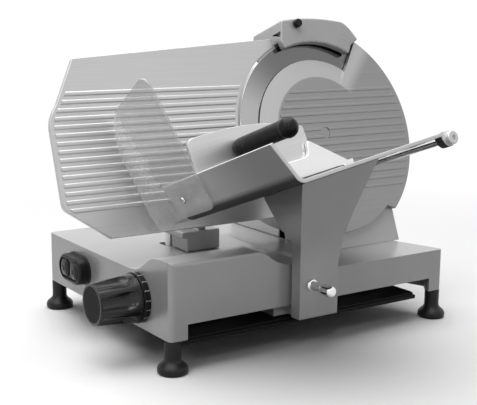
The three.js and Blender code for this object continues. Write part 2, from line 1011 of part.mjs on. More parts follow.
function buildGaugeSlider() {
  const face = cam.x + cam.thickness;
  const armLeft = face + RUN_GAP;
  const pinY = dial.y + cam.grooveStart;
  const low = dial.z - gauge.armHeight / 2;
  const high = dial.z + gauge.armHeight / 2;
  const body = join(
    block(gauge.sliderLeft, gauge.sliderRight, gauge.sliderFront, gauge.sliderRear, gauge.sliderBottom, gauge.sliderTop),
    block(armLeft, gauge.sliderLeft + WELD, gauge.sliderFront, gauge.sliderFront + gauge.armDepth, low, high),
    block(armLeft, armLeft + gauge.armThickness, pinY - gauge.armHeight, gauge.sliderFront + WELD, low, high),
    cylinder("x", cam.pinRadius, face - cam.grooveDepth + RUN_GAP, armLeft + WELD, [pinY, dial.z], PIN_TURN),
  );
  return cut(
    body,
    cylinder("y", gauge.rodRadius + SEAT_GAP, gauge.sliderFront - OVERRUN, gauge.sliderRear + OVERRUN, [
      gauge.rodX,
      gauge.rodZ,
    ]),
    cylinder("z", gauge.postRadius + SEAT_GAP, gauge.postFoot - SEAT_GAP, gauge.sliderTop + OVERRUN, [
      gauge.postX,
      gauge.postY,
    ]),
  );
}

function buildGaugeRod() {
  return cylinder("y", gauge.rodRadius, gauge.rodFront, gauge.rodRear, [gauge.rodX, gauge.rodZ]);
}

function buildGaugePost() {
  return cylinder("z", gauge.postRadius, gauge.postFoot, gauge.postTop - SEAT_GAP, [gauge.postX, gauge.postY]);
}

function buildGaugeSupport() {
  const padFace = plate.thickness + SEAT_GAP;
  const lowest = headPoint(0, padFace + gauge.padThickness / 2, gauge.padBottom + WELD);
  const highest = headPoint(0, padFace + gauge.padThickness / 2, gauge.padTop - WELD);
  const shelfRear = gauge.postY + gauge.bossRadius;
  const ribLeft = (gauge.blockLeft + gauge.blockRight - gauge.ribWidth) / 2;
  const rib = slab(
    "yz",
    polygon([
      [gauge.blockFront + gauge.ribWidth, gauge.blockTop],
      [shelfRear, gauge.blockTop],
      [highest.y, highest.z],
      [lowest.y, lowest.z],
    ]),
    ribLeft,
    ribLeft + gauge.ribWidth,
  );
  const middle = (gauge.blockLeft + gauge.blockRight) / 2 - BLADE_X;
  const pad = moved(
    block(
      middle - gauge.padWidth / 2,
      middle + gauge.padWidth / 2,
      padFace,
      padFace + gauge.padThickness,
      gauge.padBottom,
      gauge.padTop,
    ),
    headToBase,
  );
  const body = join(
    block(
      gauge.blockLeft,
      gauge.blockRight,
      gauge.blockFront,
      gauge.blockRear,
      base.topLeft + RUN_GAP,
      gauge.blockTop + WELD,
    ),
    block(
      gauge.postX - gauge.bossRadius,
      gauge.blockRight,
      gauge.blockFront,
      shelfRear,
      gauge.blockTop,
      gauge.shelfTop,
    ),
    cylinder("z", gauge.bossRadius, gauge.bossBottom, gauge.postTop + gauge.padThickness, [
      gauge.postX,
      gauge.postY,
    ]),
    rib,
    pad,
  );
  return cut(
    body,
    cylinder("z", gauge.postRadius + SEAT_GAP, base.topLeft, gauge.postTop, [gauge.postX, gauge.postY]),
  );
}

// Gauge plate: its outline follows the blade with a running gap, and its face is ribbed
function gaugeOutline(inset, arcRadius) {
  const p = plate;
  const slope = (p.topRightZ - p.cornerZ) / (p.hornX - p.cornerX);
  const right = p.hornX - 3 * inset;
  const topAtHorn = p.cornerZ + slope * (right - p.cornerX) - inset;
  const startAngle = Math.atan2(Math.sqrt(arcRadius ** 2 - right ** 2), right);
  const bottom = p.bottomZ + inset;
  const endAngle = Math.atan2(bottom, -Math.sqrt(arcRadius ** 2 - bottom ** 2)) + 4 * RIGHT_ANGLE;
  const shape = new THREE.Shape();
  shape.moveTo(p.cornerX + inset, p.cornerZ - inset);
  shape.lineTo(p.shoulderX + inset, p.shoulderZ);
  shape.quadraticCurveTo(p.left + inset, (p.shoulderZ + p.leftTop) / 2, p.left + inset, p.leftTop);
  shape.lineTo(p.left + inset, p.leftBottom);
  shape.quadraticCurveTo(p.left + inset, (p.leftBottom + p.bendZ) / 2, p.bendX + inset, p.bendZ);
  shape.lineTo(p.bottomX, bottom);
  shape.lineTo(arcRadius * Math.cos(endAngle), bottom);
  shape.absarc(0, 0, arcRadius, endAngle, startAngle, true);
  shape.lineTo(right, topAtHorn);
  return shape;
}

function ribProfile(low, high, pitch, width, height, root) {
  const points = [[root, low]];
  const count = Math.floor((high - low) / pitch);
  for (let i = 0; i < count; i += 1) {
    const middle = low + (i + 1 / 2) * pitch;
    points.push([0, middle - width / 2], [-height, middle], [0, middle + width / 2]);
  }
  points.push([root, low + count * pitch]);
  return polygon(points);
}

function buildGaugePlate() {
  const arc = BLADE_RADIUS + plate.bladeGap;
  const face = plate.ribHeight;
  const sheet = slab("xz", gaugeOutline(0, arc), face, face + plate.flangeWidth, HALF_TURN);
  const rim = cut(
    slab("xz", gaugeOutline(0, arc), face, plate.thickness, HALF_TURN),
    slab("xz", gaugeOutline(plate.flangeWidth, arc + plate.flangeWidth), face, plate.thickness + OVERRUN, 8),
  );
  const profile = ribProfile(plate.ribLow, plate.ribHigh, plate.ribPitch, plate.ribWidth, plate.ribHeight, WELD);
  const ribs = slab("yz", profile, plate.left, plate.hornX).translate(0, face, 0);
  const field = slab("xz", gaugeOutline(plate.ribMargin, arc + plate.ribMargin), -OVERRUN, plate.thickness, 8);
  const middle = (gauge.blockLeft + gauge.blockRight) / 2 - BLADE_X;
  const seat = block(
    middle - gauge.padWidth / 2,
    middle + gauge.padWidth / 2,
    face + WELD,
    plate.thickness,
    gauge.padBottom,
    gauge.padTop,
  );
  return join(sheet, rim, seat, common(ribs, field));
}

// Blade, spindle and drive, all turned about the head frame's y axis
function buildBlade() {
  const b = blade;
  return turned(
    "y",
    [
      [b.boreRadius, b.webFront],
      [b.dishRadius, b.webFront],
      [b.bandRadius, b.edge],
      [BLADE_RADIUS, 0],
      [b.bevelRadius, b.thickness],
      [b.bandRadius + b.webThickness, b.thickness],
      [b.dishRadius + b.webThickness, b.webFront + b.webThickness],
      [b.boreRadius, b.webFront + b.webThickness],
      [b.boreRadius, b.webFront],
    ],
    FINE_TURN,
  );
}

function buildSpindle() {
  const seat = blade.webFront + blade.webThickness + SEAT_GAP;
  const s = spindle;
  const tail = housing.depth - s.tailRoom;
  return turned(
    "y",
    [
      [s.boreRadius, seat - s.spigotProud],
      [blade.boreRadius - SEAT_GAP, seat - s.spigotProud],
      [blade.boreRadius - SEAT_GAP, seat],
      [s.flangeRadius, seat],
      [s.flangeRadius, seat + s.flangeThickness],
      [s.radius, seat + s.flangeThickness],
      [s.radius, tail],
      [s.boreRadius, tail],
      [s.boreRadius, seat - s.spigotProud],
    ],
    SMALL_TURN,
  );
}

function buildBearing(at) {
  return tube("y", bearing.outerRadius, spindle.radius + RUN_GAP, at, at + bearingWidth, [0, 0]);
}

function buildPulley(radius, bore, centre) {
  const half = belt.width / 2;
  const rim = radius + belt.flangeRim;
  return turned(
    "y",
    [
      [bore, belt.plane - half - belt.flangeThickness],
      [rim, belt.plane - half - belt.flangeThickness],
      [rim, belt.plane - half - RUN_GAP / 2],
      [radius, belt.plane - half - RUN_GAP / 2],
      [radius, belt.plane + half + RUN_GAP / 2],
      [rim, belt.plane + half + RUN_GAP / 2],
      [rim, belt.plane + half + belt.flangeThickness],
      [bore, belt.plane + half + belt.flangeThickness],
      [bore, belt.plane - half - belt.flangeThickness],
    ],
    SMALL_TURN,
    centre,
  );
}

// The belt's outline: two arcs and the straight runs that touch both
function beltOutline(grow) {
  const big = belt.drivenRadius + grow;
  const small = belt.driverRadius + grow;
  const dx = belt.motorX;
  const dz = belt.motorZ;
  const distance = Math.hypot(dx, dz);
  const along = Math.atan2(dz, dx);
  const spread = Math.acos((big - small) / distance);
  const shape = new THREE.Shape();
  const first = along + spread;
  const last = along - spread + 4 * RIGHT_ANGLE;
  shape.moveTo(big * Math.cos(first), big * Math.sin(first));
  shape.absarc(0, 0, big, first, last, false);
  shape.lineTo(dx + small * Math.cos(last), dz + small * Math.sin(last));
  shape.absarc(dx, dz, small, along - spread, along + spread, false);
  return shape;
}

function buildBelt() {
  const half = belt.width / 2;
  const outer = slab("xz", beltOutline(SEAT_GAP + belt.thickness), belt.plane - half, belt.plane + half, PIN_TURN);
  const inner = slab("xz", beltOutline(SEAT_GAP), belt.plane - half - WELD, belt.plane + half + WELD, PIN_TURN);
  return cut(outer, inner);
}

const motorCentre = [belt.motorX, belt.motorZ];
const motorFront = housing.depth + housing.coverThickness + 2 * SEAT_GAP + motor.gapBehindCover;

function buildMotorBody() {
  const front = motorFront;
  const rear = front + motor.length;
  const drum = turned(
    "y",
    [
      [motor.shaftRadius + RUN_GAP, front - motor.gapBehindCover],
      [motor.flangeRadius, front - motor.gapBehindCover],
      [motor.flangeRadius, front],
      [motor.radius - motor.flangeThickness, front],
      [motor.radius, front + motor.flangeThickness],
      [motor.radius, rear - motor.flangeThickness],
      [motor.radius - motor.flangeThickness, rear],
      [motor.shaftRadius + RUN_GAP, rear],
      [motor.shaftRadius + RUN_GAP, front - motor.gapBehindCover],
    ],
    2 * motor.finCount,
    motorCentre,
  );
  const step = (4 * RIGHT_ANGLE) / motor.finCount;
  const grooves = Array.from({ length: motor.finCount }, (_, i) => {
    const groove = block(
      motor.radius - motor.finDepth,
      motor.radius + OVERRUN,
      front + 2 * motor.flangeThickness,
      rear - 2 * motor.flangeThickness,
      -motor.finWidth / 2,
      motor.finWidth / 2,
    );
    return groove.rotateY(i * step).translate(belt.motorX, 0, belt.motorZ);
  });
  return cut(drum, ...grooves);
}

function buildMotorShaft() {
  const front = belt.plane - belt.width / 2 - belt.flangeThickness - WELD;
  const rear = motorFront + motor.length;
  return cylinder("y", motor.shaftRadius, front, rear + WELD, motorCentre);
}

// Blade housing: a dish behind the blade, the rim round its right side and the neck to the base
function housingOutline(inset) {
  const h = housing;
  const right = h.neckRight - inset;
  const left = h.neckLeft + inset;
  const rim = cover.guardRadius - inset;
  const disc = h.discRadius - inset;
  const startAngle = RIGHT_ANGLE - cover.guardStart;
  const endAngle = -Math.acos(right / rim);
  const leftAngle = -2 * RIGHT_ANGLE + Math.acos(-left / disc);
  const shape = new THREE.Shape();
  const low = -BLADE_Z;
  shape.moveTo(left, low);
  shape.lineTo(right + h.flareRight - h.neckRight, low);
  shape.lineTo(rim * Math.cos(endAngle), rim * Math.sin(endAngle));
  shape.absarc(0, 0, rim, endAngle, startAngle, false);
  shape.absarc(0, 0, disc, startAngle, leftAngle + 4 * RIGHT_ANGLE, false);
  return shape;
}

function rimOutline() {
  const startAngle = RIGHT_ANGLE - cover.guardStart;
  const right = housing.neckRight;
  const rim = cover.guardRadius;
  const endAngle = -Math.acos(right / rim);
  const inner = housing.rimInner;
  const innerEnd = -RIGHT_ANGLE - Math.asin(-housing.neckLeft / inner);
  const shape = new THREE.Shape();
  shape.moveTo(housing.neckLeft, -BLADE_Z);
  shape.lineTo(housing.flareRight, -BLADE_Z);
  shape.lineTo(rim * Math.cos(endAngle), rim * Math.sin(endAngle));
  shape.absarc(0, 0, rim, endAngle, startAngle, false);
  shape.lineTo(inner * Math.cos(startAngle), inner * Math.sin(startAngle));
  shape.absarc(0, 0, inner, startAngle, innerEnd, true);
  return shape;
}

// Everything below the seating plane on the base's top is cut off the leaning castings
function belowBaseTop() {
  const reach = BASE_LENGTH + BASE_WIDTH;
  return moved(block(-reach, reach, -reach, reach, -reach, base.topRight + SEAT_GAP), baseToHead);
}

function buildHousing() {
  const h = housing;
  const back = h.depth;
  const body = slab("xz", housingOutline(0), h.front, back, HALF_TURN);
  const hollow = slab("xz", housingOutline(h.wall), h.front + h.plateThickness, back + OVERRUN, 8);
  const rim = slab("xz", rimOutline(), h.rimFront, h.front + WELD, HALF_TURN);
  const boss = cylinder("y", h.bossRadius, h.front + WELD, bossEnd, [0, 0]);
  const seats = [
    cylinder("y", bearing.outerRadius + SEAT_GAP, bearing.frontAt - SEAT_GAP, bossEnd + OVERRUN, [0, 0]),
    cylinder("y", spindle.radius + spindle.flangeThickness, 0, back, [0, 0]),
  ];
  const postCentre = [sharpener.postX, sharpener.postAt];
  const post = common(
    cylinder("z", sharpener.postRadius + h.wall, h.discRadius - 4 * h.wall, h.discRadius, postCentre),
    cylinder("y", h.discRadius, 0, back, [0, 0], FINE_TURN),
  );
  const postHole = cylinder("z", sharpener.postRadius + SEAT_GAP, h.discRadius - 3 * h.wall, h.discRadius + OVERRUN, postCentre);
  const shell = join(cut(body, hollow), rim, boss, post);
  return cut(shell, ...seats, postHole, belowBaseTop());
}

function buildHousingCover() {
  const h = housing;
  const front = h.depth + SEAT_GAP;
  const sheet = slab("xz", housingOutline(0), front, front + h.coverThickness, HALF_TURN);
  const shaftHole = cylinder("y", motor.bossRadius, 0, front + OVERRUN, motorCentre);
  const tieHole = cylinder("y", tie.radius + SEAT_GAP, 0, front + OVERRUN, [0, 0]);
  return cut(sheet, shaftHole, tieHole, belowBaseTop());
}

function buildShroud() {
  const s = shroud;
  const outline = (inset) => {
    const shape = new THREE.Shape();
    shape.moveTo(s.front, inset > 0 ? 0 : base.topRight + SEAT_GAP);
    shape.lineTo(s.rear - inset, inset > 0 ? 0 : base.topRight + SEAT_GAP);
    shape.lineTo(s.rear - inset, s.rearTop - s.roundTop - inset);
    shape.quadraticCurveTo(s.rear - inset, s.rearTop - inset, s.rear - s.roundTop - inset, s.rearTop - inset);
    shape.lineTo(s.shoulderY, s.shoulderTop - inset);
    shape.lineTo(s.front, s.frontTop - inset);
    return shape;
  };
  const body = slab("yz", outline(0), s.left, s.right);
  const hollow = slab("yz", outline(s.wall), s.left + s.wall, s.right - s.wall);
  const behindHousing = moved(
    block(
      -BASE_LENGTH,
      BASE_LENGTH,
      -BASE_WIDTH,
      housing.depth + housing.coverThickness + 2 * SEAT_GAP,
      -BLADE_Z * 2,
      BLADE_Z * 2,
    ),
    headToBase,
  );
  const openFront = block(
    s.left + s.wall,
    s.right - s.wall,
    s.front - OVERRUN,
    s.front + OVERRUN,
    0,
    s.frontTop - s.wall,
  );
  return cut(body, hollow, openFront, behindHousing);
}

function buildCapacitor() {
  const low = base.plateThickness + SEAT_GAP;
  return cylinder("x", capacitor.radius, capacitor.x, capacitor.x + capacitor.length, [
    capacitor.y,
    low + capacitor.radius,
  ]);
}

// Blade cover: a domed disc over the blade's middle and a guard over its right side
function guardOutline(inset) {
  const start = RIGHT_ANGLE - cover.guardStart;
  const end = RIGHT_ANGLE - cover.guardEnd;
  const skirt = RIGHT_ANGLE - cover.skirtEnd;
  const outer = cover.guardRadius - inset;
  const low = cover.skirtRadius - inset;
  const shape = new THREE.Shape();
  shape.moveTo(0, 0);
  shape.lineTo(low * Math.cos(skirt), low * Math.sin(skirt));
  shape.absarc(0, 0, low, skirt, end - 3 * DEGREE, false);
  shape.lineTo(outer * Math.cos(end), outer * Math.sin(end));
  shape.absarc(0, 0, outer, end, start, false);
  return shape;
}

function buildBladeCover() {
  const c = cover;
  const dome = turned(
    "y",
    [
      [0, -c.back],
      [c.discRadius, -c.back],
      [c.discRadius, -c.rimFront],
      [c.plateauRadius, -c.front],
      [0, -c.front],
    ],
    FINE_TURN,
  );
  const wing = slab("xz", guardOutline(0), -c.front, -c.back, HALF_TURN);
  const profile = ribProfile(c.ribLow, c.ribHigh, c.ribPitch, c.ribWidth, c.ribHeight, WELD);
  const ribs = slab("yz", profile, -c.guardRadius, c.guardRadius).translate(0, -c.front, 0);
  const domeField = cylinder("y", c.plateauRadius - c.ribMargin / 2, -c.front - OVERRUN, 0, [0, 0], FINE_TURN);
  const wingField = slab("xz", guardOutline(c.ribMargin), -c.front - OVERRUN, 0, 8);
  const pocket = cylinder("y", c.pocketRadius, -c.back - c.pocketDepth, OVERRUN, [0, 0], MEDIUM_TURN);
  const body = cut(join(dome, wing), pocket);
  const boltSeat = cylinder("y", tie.radius + c.nutRadius, -c.front + WELD, -c.back, [0, 0]);
  const bore = cylinder("y", tie.radius + SEAT_GAP, -c.front - OVERRUN, OVERRUN, [0, 0]);
  const headSeat = cylinder("y", tie.boltHead + SEAT_GAP, -c.front - OVERRUN, -c.front + tie.boltHeadHeight, [0, 0]);
  const field = join(domeField, wingField);
  const reach = (housing.rimInner + c.guardRadius) / 2;
  const pads = c.padTurnShares.map((share) => {
    const angle = RIGHT_ANGLE - c.guardStart - share * (c.guardEnd - c.guardStart);
    const centre = [reach * Math.cos(angle), reach * Math.sin(angle)];
    return cylinder("y", c.padRadius, -c.back - WELD, housing.rimFront - SEAT_GAP, centre, PIN_TURN);
  });
  return cut(join(body, boltSeat, common(ribs, field), ...pads), bore, headSeat);
}

function buildTieRod() {
  const top = -cover.front + SEAT_GAP;
  const seat = top + tie.boltHeadHeight - 2 * SEAT_GAP;
  const end = housing.depth + housing.coverThickness + SEAT_GAP + tie.knobLength;
  return turned(
    "y",
    [
      [0, top],
      [tie.boltHead, top],
      [tie.boltHead, seat],
      [tie.radius, seat],
      [tie.radius, end],
      [0, end],
    ],
    SMALL_TURN,
  );
}

function buildCoverKnob() {
  const front = housing.depth + housing.coverThickness + 2 * SEAT_GAP;
  const rear = front + tie.knobLength + SEAT_GAP + tie.boltHeadHeight;
  const middle = front + tie.knobNeck;
  const body = turned(
    "y",
    [
      [0, front],
      [tie.knobNeck, front],
      [tie.knobNeck, middle],
      [tie.knobRadius, middle + tie.boltHeadHeight],
      [tie.knobRadius, rear - tie.boltHeadHeight],
      [tie.knobRadius - tie.boltHeadHeight, rear],
      [0, rear],
    ],
    4 * tie.lobes,
  );
  const step = (4 * RIGHT_ANGLE) / tie.lobes;
  const scallops = Array.from({ length: tie.lobes }, (_, i) => {
    const reach = tie.knobRadius + tie.boltHead / 2;
    const centre = [reach * Math.cos(i * step), reach * Math.sin(i * step)];
    return cylinder("y", tie.boltHead, middle, rear + OVERRUN, centre, PIN_TURN);
  });
  const bore = cylinder("y", tie.radius + SEAT_GAP, front - OVERRUN, front + tie.knobLength, [0, 0]);
  return cut(body, ...scallops, bore);
}

// Sharpener on top of the blade: it straddles the edge and holds a stone on either side
function sharpenerOutline(inset) {
  const s = sharpener;
  const arc = s.arcRadius + inset;
  const leftFoot = s.leftSide + inset + (s.sideFoot - s.arcRadius);
  const startAngle = Math.acos(leftFoot / arc);
  const endAngle = Math.atan2(s.notchZ, s.notchX - inset);
  const shape = new THREE.Shape();
  shape.moveTo(s.leftSide + inset, s.sideFoot + inset);
  shape.lineTo(arc * Math.cos(startAngle), arc * Math.sin(startAngle));
  shape.absarc(0, 0, arc, startAngle, endAngle, true);
  shape.lineTo(s.notchX - inset, s.notchZ + inset);
  shape.lineTo(s.tipX - inset, s.tipZ);
  shape.lineTo(s.noseX - inset, s.noseZ);
  shape.quadraticCurveTo((s.noseX + s.topRightX) / 2, s.topRightZ - inset / 2, s.topRightX - inset, s.topRightZ - inset);
  shape.quadraticCurveTo((s.leftTop + s.topRightX) / 2, s.topZ + s.wall - inset, s.leftTop + inset, s.topZ - s.wall - inset);
  return shape;
}

function stonePlace(angle) {
  return [sharpener.stoneCentre * Math.sin(angle), sharpener.stoneCentre * Math.cos(angle)];
}

const grindCentre = stonePlace(sharpener.grindAngle);
const deburrCentre = stonePlace(sharpener.deburrAngle);
const grindFront = sharpener.slotBack + sharpener.restGap;
const grindBack = grindFront + sharpener.stoneThickness;
const deburrBack = -sharpener.slotFront - SEAT_GAP;
const deburrFront = deburrBack - sharpener.stoneThickness;

function buildSharpenerBody() {
  const s = sharpener;
  const body = slab("xz", sharpenerOutline(0), -s.front, s.back, 6);
  const slotOuter = cylinder("y", s.slotRadius, -s.slotFront, s.slotBack, [0, 0], FINE_TURN);
  const room = s.stoneRadius + RUN_GAP;
  const grindRoom = cylinder("y", room, grindFront - s.pressStroke - RUN_GAP, grindBack + RUN_GAP, grindCentre);
  const deburrRoom = cylinder("y", room, deburrFront - RUN_GAP, deburrBack + s.pullStroke + RUN_GAP, deburrCentre);
  const hole = s.spindleRadius + SEAT_GAP;
  const grindHole = cylinder("y", hole, 0, s.back + OVERRUN, grindCentre);
  const deburrHole = cylinder("y", hole, deburrBack, s.back + OVERRUN, deburrCentre);
  const postHole = cylinder("z", s.postRadius + SEAT_GAP, 0, s.topZ - s.wall, [s.postX, s.postAt]);
  const knobHole = cylinder("y", s.knobStem + SEAT_GAP, -s.front - OVERRUN, -s.front + s.knobStemLength + WELD, [
    s.knobX,
    s.knobZ,
  ]);
  return cut(body, slotOuter, grindRoom, deburrRoom, grindHole, deburrHole, postHole, knobHole);
}

function buildStone(front, centre) {
  return tube("y", sharpener.stoneRadius, sharpener.stoneBore, front, front + sharpener.stoneThickness, centre);
}

function buildStoneSpindle(front, centre) {
  const s = sharpener;
  const rear = s.back + s.pressStroke + SEAT_GAP;
  return turned(
    "y",
    [
      [0, front],
      [s.spindleRadius, front],
      [s.spindleRadius, rear],
      [s.buttonRadius, rear],
      [s.buttonRadius, rear + s.buttonLength - s.wall / 2],
      [s.buttonRadius - s.wall / 2, rear + s.buttonLength],
      [0, rear + s.buttonLength],
    ],
    PIN_TURN,
    centre,
  );
}

function buildSharpenerPost() {
  const s = sharpener;
  return cylinder("z", s.postRadius, housing.discRadius - 3 * housing.wall + SEAT_GAP, s.topZ - s.wall - SEAT_GAP, [
    s.postX,
    s.postAt,
  ]);
}

function buildSharpenerKnob() {
  const s = sharpener;
  const outer = -s.front - SEAT_GAP - s.knobProud;
  return turned(
    "y",
    [
      [0, outer],
      [s.knobRadius - WELD, outer],
      [s.knobRadius, outer + WELD],
      [s.knobRadius, -s.front - SEAT_GAP],
      [s.knobStem, -s.front - SEAT_GAP],
      [s.knobStem, -s.front + s.knobStemLength],
      [0, -s.front + s.knobStemLength],
    ],
    SMALL_TURN,
    [s.knobX, s.knobZ],
  );
}

// Carriage: bearing block on the rod, arm in front of the base, tray on top
function buildCarriageBlock() {
  const r = rail;
  const body = join(
    block(r.blockLeft, r.blockRight, r.blockFront, r.blockRear, r.blockBottom, r.blockTop),
    block(r.tongueLeft, r.tongueRight, carriage.rear + SEAT_GAP, r.blockFront + WELD, r.blockBottom, r.tongueTop),
  );
  const bushSeat = r.rodRadius + r.bushWall + SEAT_GAP * 2;
  const middle = (r.blockLeft + r.blockRight) / 2;
  const rollerZ = r.barZ + r.barSide / 2 + r.rollerRadius + SEAT_GAP;
  const pinEnd = r.barY + r.rollerWidth / 2 + WELD;
  const pin = cylinder("y", r.rollerPinRadius, r.blockRear - WELD, pinEnd, [middle, rollerZ], PIN_TURN);
  return cut(
    join(body, pin),
    cylinder("x", bushSeat, r.blockLeft - OVERRUN, r.blockRight + OVERRUN, [r.rodY, r.rodZ]),
  );
}

function buildRoller() {
  const r = rail;
  const middle = (r.blockLeft + r.blockRight) / 2;
  const rollerZ = r.barZ + r.barSide / 2 + r.rollerRadius + SEAT_GAP;
  const half = r.rollerWidth / 2;
  return tube("y", r.rollerRadius, r.rollerPinRadius + SEAT_GAP, r.barY - half, r.barY + half, [middle, rollerZ]);
}

function buildBushing(from) {
  const r = rail;
  const outer = r.rodRadius + r.bushWall + SEAT_GAP;
  return tube("x", outer, r.rodRadius + SEAT_GAP, from, from + r.bushLength, [r.rodY, r.rodZ]);
}

function buildCarriageRod() {
  const r = rail;
  return cylinder("x", r.rodRadius, base.wall + SEAT_GAP, r.rightEnd + base.wall - SEAT_GAP, [r.rodY, r.rodZ]);
}

function buildCarriageBar() {
  const r = rail;
  const half = r.barSide / 2;
  return block(
    base.wall + SEAT_GAP,
    r.rightEnd + base.wall - SEAT_GAP,
    r.barY - half,
    r.barY + half,
    r.barZ - half,
    r.barZ + half,
  );
}

// The half space above the tray's underside, with the seat gap
function aboveTray() {
  const reach = BASE_LENGTH + BASE_WIDTH;
  return moved(block(-reach, reach, -reach, reach, -SEAT_GAP, reach), trayToBase);
}

function buildCarriageArm() {
  const c = carriage;
  const high = c.flareTopZ;
  const frontShape = new THREE.Shape();
  frontShape.moveTo(c.left, c.foot);
  frontShape.lineTo(c.right, c.foot);
  frontShape.lineTo(c.right, c.shoulder);
  frontShape.quadraticCurveTo(c.right + c.curveEase, (c.shoulder + c.flareMidZ) / 2, c.flareMidX, c.flareMidZ);
  frontShape.lineTo(c.flareTopX, high);
  frontShape.lineTo(c.left, high);
  const panel = slab("xz", frontShape, c.front, c.front + c.plateThickness, 5);
  const heel = slab(
    "xy",
    softPolygon(
      [[c.left, c.front], [c.right, c.front], [c.right, c.rear], [c.left, c.rear]],
      c.footRound,
      [2, 3],
    ),
    c.foot,
    c.shoulder,
    5,
  );
  const webShape = new THREE.Shape();
  webShape.moveTo(c.front, c.foot);
  webShape.lineTo(c.rear, c.foot);
  webShape.lineTo(c.rear, c.webHeelZ);
  webShape.quadraticCurveTo(c.rear, c.webMidZ - c.curveEase, c.webMid, c.webMidZ);
  webShape.quadraticCurveTo((c.webMid + c.webRearTop) / 2, (c.webMidZ + c.webRearTopZ) / 2, c.webRearTop, c.webRearTopZ);
  webShape.lineTo(c.webRearTop, high);
  webShape.lineTo(c.front, high);
  const web = slab("yz", webShape, c.left, c.left + c.webThickness, 5);
  const gusset = slab("yz", webShape, c.right - c.webThickness, c.right, 5);
  const pad = moved(
    block(c.padLeft, c.padRight, c.padFront, c.padRear, -c.padThickness - SEAT_GAP, -SEAT_GAP),
    trayToBase,
  );
  const nearLimit = moved(
    block(-BASE_LENGTH, BASE_LENGTH, -tray.near, BASE_WIDTH, -BLADE_Z * 2, BLADE_Z * 2),
    headToBase,
  );
  const lockHole = cylinder("y", lock.stemRadius + SEAT_GAP, c.front - OVERRUN, c.front + lock.tail + WELD, [
    lock.x,
    lock.z,
  ]);
  return cut(join(panel, heel, web, gusset, pad), aboveTray(), nearLimit, lockHole);
}

function buildLock() {
  const root = carriage.front - SEAT_GAP;
  const stemEnd = root - lock.rootLength - lock.stemLength;
  const headEndY = stemEnd - lock.headLength;
  const round = lock.rootLength / 2;
  return turned(
    "y",
    [
      [0, headEndY],
      [lock.headRadius - round, headEndY],
      [lock.headRadius, headEndY + round],
      [lock.headRadius, stemEnd - round],
      [lock.stemRadius, stemEnd],
      [lock.stemRadius, root - lock.rootLength],
      [lock.rootRadius, root - lock.rootLength],
      [lock.rootRadius, root],
      [lock.stemRadius, root],
      [lock.stemRadius, carriage.front + lock.tail],
      [0, carriage.front + lock.tail],
    ],
    SMALL_TURN,
    [lock.x, lock.z],
  );
}

// Tray: a bent sheet, seen along y, with a boss at each end of its right edge for the pusher rod
function traySection() {
  const t = tray;
  const lean = t.wallLean;
  const outward = [-Math.sin(lean), Math.cos(lean)];
  const inward = [Math.cos(lean), Math.sin(lean)];
  const reach = t.bendRadius * Math.tan(RIGHT_ANGLE / 2 + lean / 2);
  const innerBend = t.bendRadius - t.floorThickness;
  const centre = [reach, t.bendRadius];
  const topOuter = [outward[0] * t.wallHeight, outward[1] * t.wallHeight];
  const topInner = [topOuter[0] + inward[0] * t.floorThickness, topOuter[1] + inward[1] * t.floorThickness];
  const wallAngle = 2 * RIGHT_ANGLE + lean;
  const shape = new THREE.Shape();
  shape.moveTo(t.floorRight, 0);
  shape.lineTo(t.floorRight, t.floorThickness);
  shape.lineTo(centre[0], t.floorThickness);
  shape.absarc(centre[0], centre[1], innerBend, -RIGHT_ANGLE, wallAngle - 4 * RIGHT_ANGLE, true);
  shape.lineTo(topInner[0], topInner[1]);
  shape.lineTo(topOuter[0], topOuter[1]);
  shape.absarc(centre[0], centre[1], t.bendRadius, wallAngle, 3 * RIGHT_ANGLE, false);
  return shape;
}

function buildTray() {
  const t = tray;
  const sheet = slab("xz", traySection(), -t.far, -t.near, 6);
  const centre = [t.bossX, -t.bossDrop];
  const ends = [
    [-t.far, -t.far + t.farBossLength],
    [-t.near - t.nearBossLength, -t.near],
  ];
  const bosses = ends.flatMap(([from, to]) => [
    cylinder("y", t.bossRadius, from, to, centre),
    block(t.floorRight - WELD, t.bossX, from, to, -t.bossDrop, t.floorThickness),
  ]);
  const bore = cylinder("y", pusher.rodRadius + SEAT_GAP, -t.far - OVERRUN, -t.near + OVERRUN, centre);
  const screwHole = moved(
    cylinder("x", guardScrew.stemRadius + SEAT_GAP, -OVERRUN * 2, OVERRUN * 2, [-guard.screwNear, guard.screwHeight]),
    wallMatrix(),
  );
  return cut(join(sheet, ...bosses), bore, screwHole);
}

// The wall's own frame: z climbs the wall's outer face and +x goes into the tray
function wallMatrix() {
  return new THREE.Matrix4().makeRotationY(-tray.wallLean);
}

